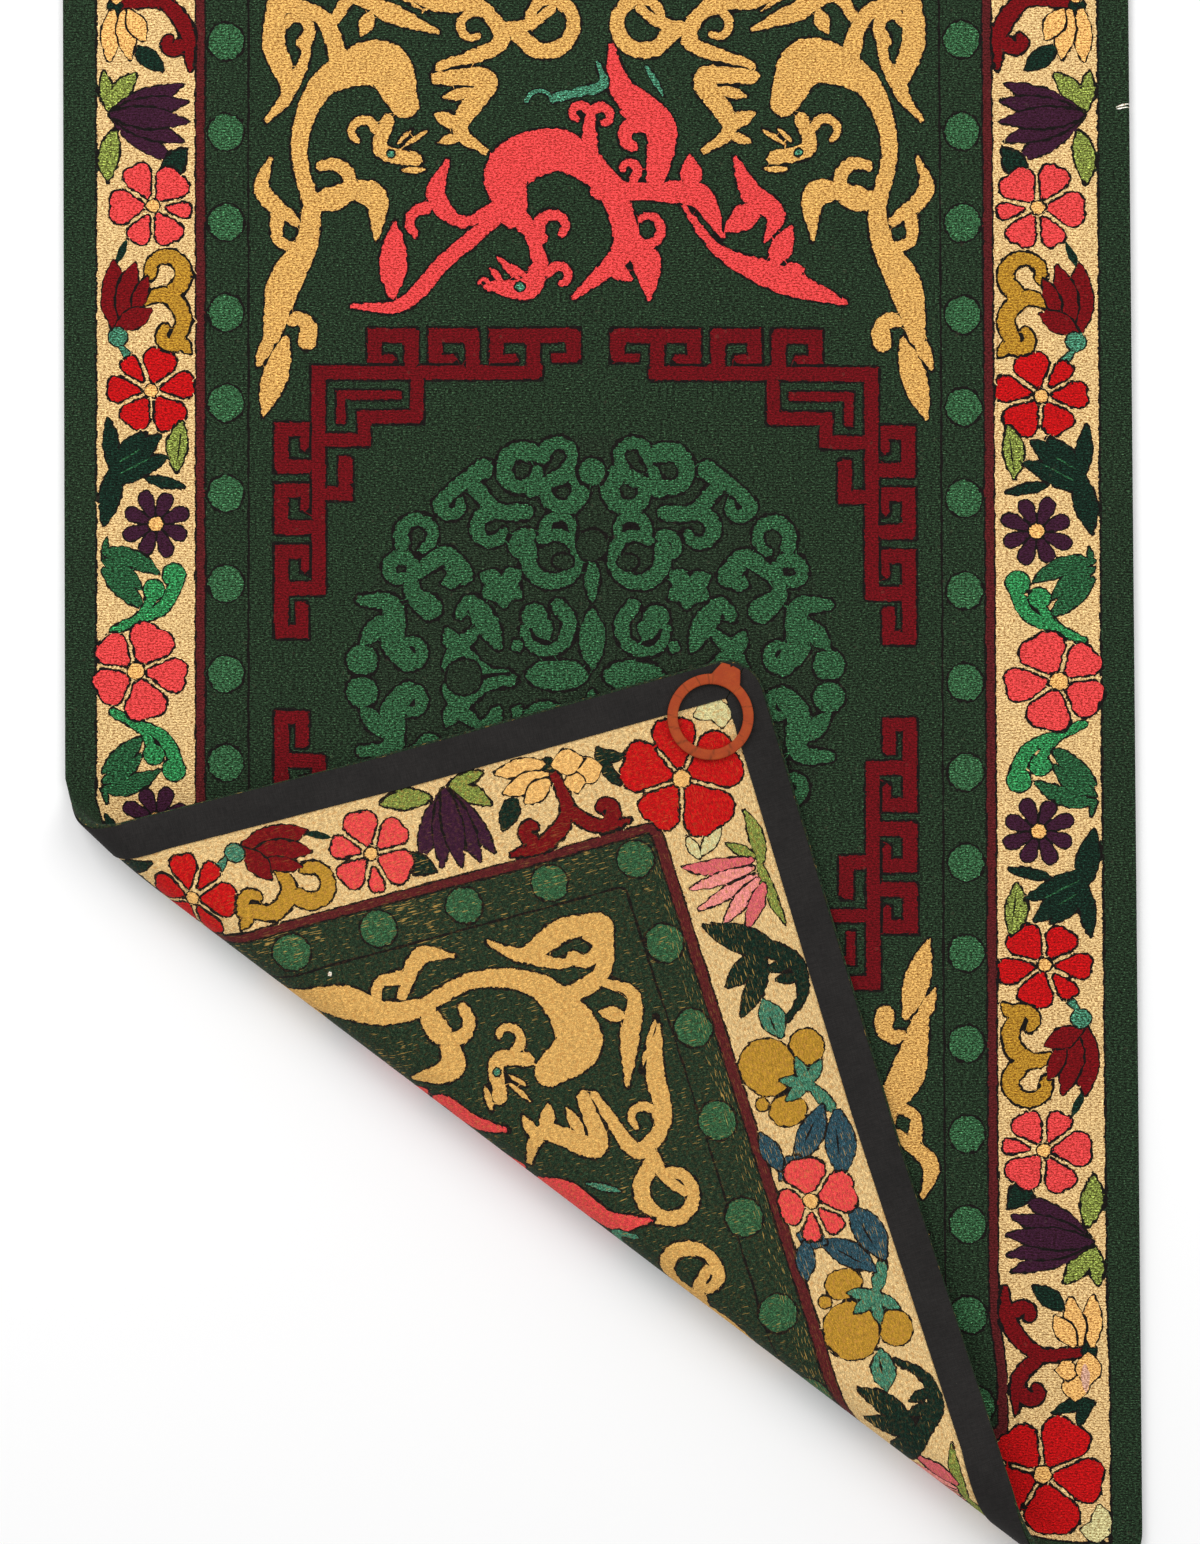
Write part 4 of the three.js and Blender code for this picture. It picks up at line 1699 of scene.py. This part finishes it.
def loops_group() -> bpy.types.ShaderNodeTree:
    """Hooked loops in wavy rows: wider than tall, with a dark gap between rows and fibres on top.

    The dark gap between rows is painted shade. Grain and shade is about 0 on average and 1 in
    spread: it varies at random from loop to loop, and is also painted shade where the loops lie low
    and painted highlight on their tops. Pit shade is painted shade in the deepest gaps between them.
    First step and Second step are random for each loop, from 0 to 1.
    """
    inputs = (("Place", "Vector", None), ("Row", "Float", 0.0023))
    outputs = ("Height", "Grain and shade", "Patch", "Pit shade", "Speck", "First step", "Second step")
    group, sheet, given, out = new_group("Hooked loops", inputs, [(name, "Float") for name in outputs])
    place = given.outputs["Place"]
    waved = sheet.sway(place, 30.0, 0.004)
    parts = sheet.add("ShaderNodeSeparateXYZ")
    sheet.put(waved, parts.inputs[0])
    turns = sheet.math("DIVIDE", sheet.math("MULTIPLY", parts.outputs[1], 2 * math.pi), given.outputs["Row"])
    row = sheet.math("SINE", turns)
    loop = sheet.math("SUBTRACT", sheet.noise(sheet.stretch(waved, (400.0, 760.0, 1.0)), 1.0, 1.0, 0.5), 0.5)
    strands = sheet.noise(sheet.stretch(place, (850.0, 1250.0, 1.0)), 1.0, 1.0, 0.5)
    fibre = sheet.math("SUBTRACT", strands, 0.5)
    # The loops' height; the grain below follows it, so low loops and the gaps between rows are painted
    # darker, as painted shade, and loop tops lighter, as painted highlight.
    body = sheet.math("ADD", sheet.math("MULTIPLY", row, 0.55), sheet.math("MULTIPLY", loop, 12.0))
    grain = sheet.math("ADD", body, sheet.math("MULTIPLY", fibre, 13.0))
    cells = sheet.add("ShaderNodeTexVoronoi", voronoi_dimensions="2D", feature="F1")
    sheet.put(waved, cells.inputs["Vector"])
    sheet.put(sheet.math("DIVIDE", 1.0, given.outputs["Row"]), cells.inputs["Scale"])
    split = sheet.add("ShaderNodeSeparateColor")
    sheet.put(cells.outputs["Color"], split.inputs[0])
    sheet.put(sheet.math("MULTIPLY_ADD", body, 0.12, 0.5), out.inputs["Height"])
    sheet.put(grain, out.inputs["Grain and shade"])
    sheet.put(sheet.math("MULTIPLY_ADD", sheet.noise(place, 60.0, 3.0, 0.6), 0.34, 0.83), out.inputs["Patch"])
    # Pit shade: the lowest grain, where the deepest gaps between the loops get painted shade.
    sheet.put(sheet.ramp(grain, -0.4, -2.0), out.inputs["Pit shade"])
    sheet.put(sheet.ramp(split.outputs[2], 0.992, 0.998), out.inputs["Speck"])
    sheet.put(split.outputs[0], out.inputs["First step"])
    sheet.put(split.outputs[1], out.inputs["Second step"])
    return group


def strands_group() -> bpy.types.ShaderNodeTree:
    """The back of the hooking: short stitches that lie every way, close and uneven.

    Here and there a thread of the ground cloth shows between them, as a thin fleck that runs along
    the nearest side of the rug. Grain and shade is about 0 on average and 1 in spread: it varies at
    random from stitch to stitch, and is also painted shade where the stitches lie low and painted
    highlight where they stand high.
    """
    inputs = (("Place", "Vector", None), ("Half width", "Float", 0.465), ("Half length", "Float", 0.763))
    outputs = ("Height", "Grain and shade", "Patch", "Fleck", "Nub", "First step", "Second step")
    group, sheet, given, out = new_group("Back stitches", inputs, [(name, "Float") for name in outputs])
    place = given.outputs["Place"]
    bent = sheet.sway(place, 40.0, 0.006)
    fibre = sheet.math("SUBTRACT", sheet.noise(place, 1150.0, 1.0, 0.5), 0.5)
    nubs = sheet.noise(bent, 330.0, 2.0, 0.65)
    parts = sheet.add("ShaderNodeSeparateXYZ")
    sheet.put(place, parts.inputs[0])
    to_side = sheet.math("SUBTRACT", given.outputs["Half width"], sheet.math("ABSOLUTE", parts.outputs[0]))
    to_end = sheet.math("SUBTRACT", given.outputs["Half length"], sheet.math("ABSOLUTE", parts.outputs[1]))
    at_end = sheet.math("LESS_THAN", to_end, 0.15)
    by_end = sheet.math("MULTIPLY", sheet.math("LESS_THAN", to_end, to_side), at_end)
    upright = sheet.noise(sheet.stretch(place, (1150.0, 95.0, 1.0)), 1.0, 1.0, 0.5)
    flat = sheet.noise(sheet.stretch(place, (95.0, 1150.0, 1.0)), 1.0, 1.0, 0.5)
    by_side = sheet.math("SUBTRACT", 1.0, by_end)
    crosswise = sheet.noise(sheet.stretch(bent, (300.0, 760.0, 1.0)), 1.0, 2.0, 0.65)
    lengthwise = sheet.noise(sheet.stretch(bent, (760.0, 300.0, 1.0)), 1.0, 2.0, 0.65)
    along_end = sheet.math("MULTIPLY", crosswise, by_end)
    along_side = sheet.math("MULTIPLY", lengthwise, by_side)
    laid = sheet.math("ADD", along_end, along_side)
    body = sheet.math("MULTIPLY", sheet.math("SUBTRACT", laid, 0.5), 11.0)
    # The grain follows the stitches' height: painted shade where they lie low, painted highlight where they
    # stand high, besides random tone.
    grain = sheet.math("ADD", body, sheet.math("MULTIPLY", fibre, 10.0))
    flecks = sheet.math("ADD", sheet.math("MULTIPLY", flat, by_end), sheet.math("MULTIPLY", upright, by_side))
    near = sheet.math("MINIMUM", to_side, to_end)
    band = sheet.math("MULTIPLY", sheet.ramp(near, 0.085, 0.095), sheet.ramp(near, 0.165, 0.14))
    patchy = sheet.math("MULTIPLY_ADD", sheet.noise(place, 16.0, 2.0), 0.24, -0.12)
    rare = sheet.math("SUBTRACT", sheet.math("MULTIPLY_ADD", band, -0.045, 0.0), patchy)
    steps = sheet.add("ShaderNodeTexVoronoi", voronoi_dimensions="2D", feature="F1")
    sheet.put(bent, steps.inputs["Vector"])
    sheet.put(620.0, steps.inputs["Scale"])
    split = sheet.add("ShaderNodeSeparateColor")
    sheet.put(steps.outputs["Color"], split.inputs[0])
    sheet.put(sheet.math("MULTIPLY_ADD", body, 0.2, 0.5), out.inputs["Height"])
    sheet.put(grain, out.inputs["Grain and shade"])
    sheet.put(sheet.math("MULTIPLY_ADD", sheet.noise(place, 230.0, 3.0, 0.65), 0.8, 0.6), out.inputs["Patch"])
    sheet.put(sheet.ramp(sheet.math("SUBTRACT", flecks, rare), 0.69, 0.72), out.inputs["Fleck"])
    sheet.put(sheet.ramp(nubs, 0.5, 0.64), out.inputs["Nub"])
    sheet.put(split.outputs[0], out.inputs["First step"])
    sheet.put(split.outputs[1], out.inputs["Second step"])
    return group


@dataclass(frozen=True)
class WoolFinish:
    """Matt dyed wool, looped on the front and flat-stitched on the back.

    Args:
        roughness: of the yarn.
        sheen: a little, from the fibres.
        loop_relief: height of the front's loops, in metres.
        strand_relief: height of the back's stitches, in metres.
        heathered_and_shaded: how much the green yarns vary in tone from loop to loop, the painted
            shade and highlight of the loops included.
        plain: how much the other yarns do, painted shade and highlight included.
        creep: how far the yarns beside a dark line reach into it, as a share of its width.
    """

    roughness: float = 0.92
    sheen: float = 0.03
    loop_relief: float = 0.0007
    strand_relief: float = 0.0005
    heathered_and_shaded: float = 0.5
    plain: float = 0.23
    creep: float = 0.34
    speck: str = "D8C9A4"
    fleck: str = "C9A052"
    nub: str = "B97F3C"
    # The pit tint is multiplied into the deepest gaps between the loops, as painted shade.
    pit_shade: str = "E8C49C"

    def build(self) -> bpy.types.Material:
        """Makes the material: the yarns' colours come from the mesh, the texture from the flat place."""
        material = bpy.data.materials.new("dyed_wool")
        material.use_nodes = True
        tree = material.node_tree
        sheet = NodeSheet(tree)
        principled = tree.nodes["Principled BSDF"]
        back = sheet.add("ShaderNodeAttribute", attribute_name="Back").outputs["Fac"]
        place = sheet.add("ShaderNodeUVMap", uv_map="Flat").outputs[0]
        loops = sheet.add("ShaderNodeGroup", node_tree=loops_group())
        strands = sheet.add("ShaderNodeGroup", node_tree=strands_group())
        sheet.put(place, loops.inputs["Place"])
        sheet.put(place, strands.inputs["Place"])
        yarn = self.crept(sheet, back, loops, strands)
        grey = sheet.add("ShaderNodeRGBToBW")
        sheet.put(yarn, grey.inputs[0])
        light = sheet.ramp(grey.outputs[0], 0.06, 0.3)
        split = sheet.add("ShaderNodeSeparateColor")
        sheet.put(yarn, split.inputs[0])
        green = sheet.ramp(sheet.math("SUBTRACT", split.outputs[1], split.outputs[0]), 0.003, 0.012)
        swing = sheet.math("MULTIPLY_ADD", green, self.heathered_and_shaded - self.plain, self.plain)
        # Tone from the loops: random from loop to loop, plus painted shade where they lie low and painted
        # highlight on their tops.
        front = toned(sheet, yarn, self.tone(sheet, loops, swing))
        # Painted shade: the deepest gaps between the loops are darkened by the pit tint.
        front = sheet.mix(loops.outputs["Pit shade"], front, sheet.mix(1.0, front, linear(self.pit_shade), "MULTIPLY"))
        front = sheet.mix(sheet.math("MULTIPLY", loops.outputs["Speck"], 0.02), front, linear(self.speck))
        # Tone from the stitches: random, plus painted shade where they lie low and painted highlight where
        # they stand high.
        behind = toned(sheet, yarn, self.tone(sheet, strands, swing))
        nub = sheet.math("MULTIPLY", strands.outputs["Nub"], sheet.math("MULTIPLY_ADD", light, 0.5, 0.05))
        behind = sheet.mix(nub, behind, linear(self.nub))
        fleck = sheet.math("MULTIPLY", strands.outputs["Fleck"], sheet.math("MULTIPLY_ADD", green, 0.5, 0.15))
        behind = sheet.mix(fleck, behind, linear(self.fleck))
        sheet.put(sheet.mix(back, front, behind), principled.inputs["Base Color"])
        sheet.put(self.roughness, principled.inputs["Roughness"])
        sheet.put(self.sheen, principled.inputs["Sheen Weight"])
        principled.inputs["Specular IOR Level"].default_value = 0.15
        raised = sheet.math("MULTIPLY", loops.outputs["Height"], self.loop_relief)
        laid = sheet.math("MULTIPLY", strands.outputs["Height"], self.strand_relief)
        height = self.choose(sheet, back, raised, laid)
        bump = sheet.add("ShaderNodeBump")
        sheet.put(height, bump.inputs["Height"])
        sheet.put(1.0, bump.inputs["Distance"])
        sheet.put(0.8, bump.inputs["Strength"])
        sheet.put(bump.outputs[0], principled.inputs["Normal"])
        return material

    def crept(
        self, sheet: NodeSheet, back: Signal, loops: bpy.types.Node, strands: bpy.types.Node
    ) -> bpy.types.NodeSocket:
        """The yarn's colour, with the yarns on each side of a dark line stepping into it loop by loop."""
        colour = sheet.add("ShaderNodeAttribute", attribute_name="Yarn").outputs["Color"]
        across = sheet.add("ShaderNodeAttribute", attribute_name="Across").outputs["Fac"]
        beyond = sheet.math("SUBTRACT", 1.0, across)
        rows = (("First yarn", "First step", across), ("Second yarn", "Second step", beyond))
        for name, label, place in rows:
            step = self.choose(sheet, back, loops.outputs[label], strands.outputs[label])
            taken = sheet.math("LESS_THAN", place, sheet.math("MULTIPLY", step, self.creep))
            beside = sheet.add("ShaderNodeAttribute", attribute_name=name).outputs["Color"]
            colour = sheet.mix(taken, colour, beside)
        return colour

    def tone(self, sheet: NodeSheet, texture: bpy.types.Node, swing: Signal) -> bpy.types.NodeSocket:
        """A texture's grain, with the painted shade and highlight of its loops or stitches, and its patches
        as one factor on the colour.
        """
        grain = sheet.math("POWER", 2.2, sheet.math("MULTIPLY", texture.outputs["Grain and shade"], swing))
        return sheet.math("MULTIPLY", grain, texture.outputs["Patch"])

    def choose(
        self, sheet: NodeSheet, back: Signal, front_value: Signal, back_value: Signal
    ) -> bpy.types.NodeSocket:
        """One value on the front and another on the back."""
        node = sheet.add("ShaderNodeMix", data_type="FLOAT")
        sockets = (node.inputs[0], node.inputs[2], node.inputs[3])
        for value, socket in zip((back, front_value, back_value), sockets):
            sheet.put(value, socket)
        return node.outputs[0]


def weave_group() -> bpy.types.ShaderNodeTree:
    """A close twill: fine slanting ribs, broken by thicker and thinner threads."""
    inputs = (("Place", "Vector", None), ("Pitch", "Float", 0.0011))
    outputs = (("Height", "Float"), ("Tone", "Float"), ("Lint", "Float"))
    group, sheet, given, out = new_group("Tape weave", inputs, outputs)
    place = given.outputs["Place"]
    ribs = sheet.add("ShaderNodeTexWave", wave_type="BANDS", bands_direction="DIAGONAL", wave_profile="SIN")
    sheet.put(place, ribs.inputs["Vector"])
    sheet.put(sheet.math("DIVIDE", 0.32, given.outputs["Pitch"]), ribs.inputs["Scale"])
    sheet.put(1.6, ribs.inputs["Distortion"])
    sheet.put(2.0, ribs.inputs["Detail Scale"])
    threads = sheet.noise(sheet.stretch(place, (1100.0, 90.0, 1.0)), 1.0, 2.0, 0.6)
    picks = sheet.noise(sheet.stretch(place, (110.0, 900.0, 1.0)), 1.0, 2.0, 0.6)
    worn = sheet.noise(place, 22.0, 3.0, 0.6)
    lint = sheet.noise(sheet.stretch(place, (700.0, 260.0, 1.0), 0.7), 1.0, 3.0, 0.7)
    ribbed = sheet.math("MULTIPLY", ribs.outputs["Fac"], 0.5)
    height = sheet.math("ADD", ribbed, sheet.math("MULTIPLY", threads, 0.5))
    light_threads = sheet.ramp(threads, 0.25, 0.75, 0.78, 1.25)
    light_picks = sheet.ramp(picks, 0.25, 0.75, 0.85, 1.18)
    tone = sheet.math("MULTIPLY", light_threads, light_picks)
    tone = sheet.math("MULTIPLY", tone, sheet.ramp(worn, 0.3, 0.7, 0.88, 1.14))
    sheet.put(height, out.inputs["Height"])
    sheet.put(tone, out.inputs["Tone"])
    sheet.put(sheet.ramp(lint, 0.7, 0.8), out.inputs["Lint"])
    return group


def toned(sheet: NodeSheet, colour: Signal, tone: Signal) -> bpy.types.NodeSocket:
    """Multiplies a colour by a tone."""
    node = sheet.add("ShaderNodeVectorMath", operation="SCALE")
    sheet.put(colour, node.inputs[0])
    sheet.put(tone, node.inputs["Scale"])
    return node.outputs[0]


@dataclass(frozen=True)
class TapeFinish:
    """Charcoal cotton tape, a little faded, with specks of lint."""

    colour: str = "201E1D"
    lint: str = "77726A"
    roughness: float = 0.88
    relief: float = 0.00022

    def build(self) -> bpy.types.Material:
        """Makes the material from the tape's own along and across places."""
        material = bpy.data.materials.new("charcoal_tape")
        material.use_nodes = True
        sheet = NodeSheet(material.node_tree)
        principled = material.node_tree.nodes["Principled BSDF"]
        weave = sheet.add("ShaderNodeGroup", node_tree=weave_group())
        sheet.put(sheet.add("ShaderNodeUVMap", uv_map="Flat").outputs[0], weave.inputs["Place"])
        plain = sheet.add("ShaderNodeRGB")
        plain.outputs[0].default_value = (*linear(self.colour), 1.0)
        colour = toned(sheet, plain.outputs[0], weave.outputs["Tone"])
        colour = sheet.mix(sheet.math("MULTIPLY", weave.outputs["Lint"], 0.35), colour, linear(self.lint))
        sheet.put(colour, principled.inputs["Base Color"])
        sheet.put(self.roughness, principled.inputs["Roughness"])
        principled.inputs["Specular IOR Level"].default_value = 0.2
        bump = sheet.add("ShaderNodeBump")
        sheet.put(weave.outputs["Height"], bump.inputs["Height"])
        sheet.put(self.relief, bump.inputs["Distance"])
        sheet.put(bump.outputs[0], principled.inputs["Normal"])
        return material


@dataclass(frozen=True)
class RingFinish:
    """Terracotta-coloured ring, matt, with fine brown cross lines and rubbed patches."""

    colour: str = "9A3D1D"
    pale: str = "A2461F"
    crack: str = "4A2A14"
    roughness: float = 0.7
    gloss: float = 0.15

    def build(self) -> bpy.types.Material:
        """Makes the material from the ring's cracks and its place in space."""
        material = bpy.data.materials.new("terracotta_ring")
        material.use_nodes = True
        sheet = NodeSheet(material.node_tree)
        principled = material.node_tree.nodes["Principled BSDF"]
        place = sheet.add("ShaderNodeTexCoord").outputs["Object"]
        crack = sheet.add("ShaderNodeAttribute", attribute_name="Crack").outputs["Fac"]
        patches = sheet.ramp(sheet.noise(place, 120.0, 3.0, 0.6), 0.35, 0.7)
        grain = sheet.noise(place, 900.0, 3.0, 0.7)
        base = sheet.mix(patches, linear(self.colour), linear(self.pale))
        base = toned(sheet, base, sheet.ramp(grain, 0.3, 0.7, 0.9, 1.08))
        broken = sheet.math("MULTIPLY", crack, sheet.ramp(grain, 0.3, 0.6, 0.45, 0.95))
        base = sheet.mix(broken, base, linear(self.crack))
        sheet.put(base, principled.inputs["Base Color"])
        worn = sheet.ramp(grain, 0.3, 0.7, self.roughness - 0.06, self.roughness + 0.12)
        sheet.put(worn, principled.inputs["Roughness"])
        principled.inputs["Specular IOR Level"].default_value = self.gloss
        bump = sheet.add("ShaderNodeBump")
        grained = sheet.math("MULTIPLY", grain, 0.25)
        height = sheet.math("SUBTRACT", grained, sheet.math("MULTIPLY", crack, 0.6))
        sheet.put(height, bump.inputs["Height"])
        sheet.put(0.0002, bump.inputs["Distance"])
        sheet.put(bump.outputs[0], principled.inputs["Normal"])
        return material


# The set


def build_camera() -> None:
    """A long lens straight above the rug, as the photograph was taken."""
    data = bpy.data.cameras.new("camera")
    data.lens = 100
    data.sensor_width = 36
    camera = bpy.data.objects.new("camera", data)
    width, height = 1200, 1544
    picture_centre = (width / 2, height / 2)
    spot = chart_to_flat(np.array((picture_centre,)))[0]
    distance = height * SQUARE * data.lens / data.sensor_width
    camera.location = (spot[0], spot[1], distance + 8 * MM)
    bpy.context.collection.objects.link(camera)
    bpy.context.scene.camera = camera
    bpy.context.scene.view_settings.view_transform = "Standard"


def build_stage() -> None:
    """A plain pale floor under soft, even light from two large panels."""
    corners = np.array(((-6, -6, 0), (6, -6, 0), (6, 6, 0), (-6, 6, 0)), float)
    floor = add_mesh("floor", corners, [(0, 1, 2, 3)])
    material = bpy.data.materials.new("floor")
    material.use_nodes = True
    material.node_tree.nodes["Principled BSDF"].inputs["Base Color"].default_value = (0.9, 0.9, 0.9, 1)
    material.node_tree.nodes["Principled BSDF"].inputs["Roughness"].default_value = 0.9
    floor.data.materials.append(material)
    world = bpy.data.worlds.new("studio")
    world.use_nodes = True
    world.node_tree.nodes["Background"].inputs["Color"].default_value = (1, 1, 1, 1)
    world.node_tree.nodes["Background"].inputs["Strength"].default_value = 0.71
    bpy.context.scene.world = world
    rows = (((-1.6, 1.7, 2.6), 53.0, 1.8), ((1.9, 0.8, 2.8), 30.0, 1.8))
    for number, (spot, power, size) in enumerate(rows):
        data = bpy.data.lights.new(f"panel_{number}", "AREA")
        data.energy = power
        data.size = size
        lamp = bpy.data.objects.new(f"panel_{number}", data)
        lamp.location = spot
        aim = -np.array(spot)
        lean = math.atan2(math.hypot(aim[0], aim[1]), -aim[2])
        lamp.rotation_euler = (lean, 0, math.atan2(aim[0], -aim[1]) + math.pi)
        bpy.context.collection.objects.link(lamp)


def main() -> None:
    build_camera()
    build_stage()
    fold = Fold()
    outline = Outline()
    rug = RugSheet(fold, outline).build()
    rug.data.materials.append(WoolFinish().build())
    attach(rug, "root")
    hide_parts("rug")
    log.info("hooked sheet: %d faces", len(rug.data.polygons))
    tape = Tape()
    tape_finish = TapeFinish().build()
    for side, node in enumerate(("tape_bottom", "tape_right", "tape_top", "tape_left")):
        strip = tape.build(fold, outline, side, f"cotton_{node}")
        strip.data.materials.append(tape_finish)
        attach(strip, "root")
        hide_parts(node)
        log.info("%s: %d faces", strip.name, len(strip.data.polygons))
    ring = HangingRing().build()
    ring.data.materials.append(RingFinish().build())
    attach(ring, "root")
    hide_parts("ring")
    log.info("hanging ring: %d faces", len(ring.data.polygons))


if __name__ == "__main__":
    main()
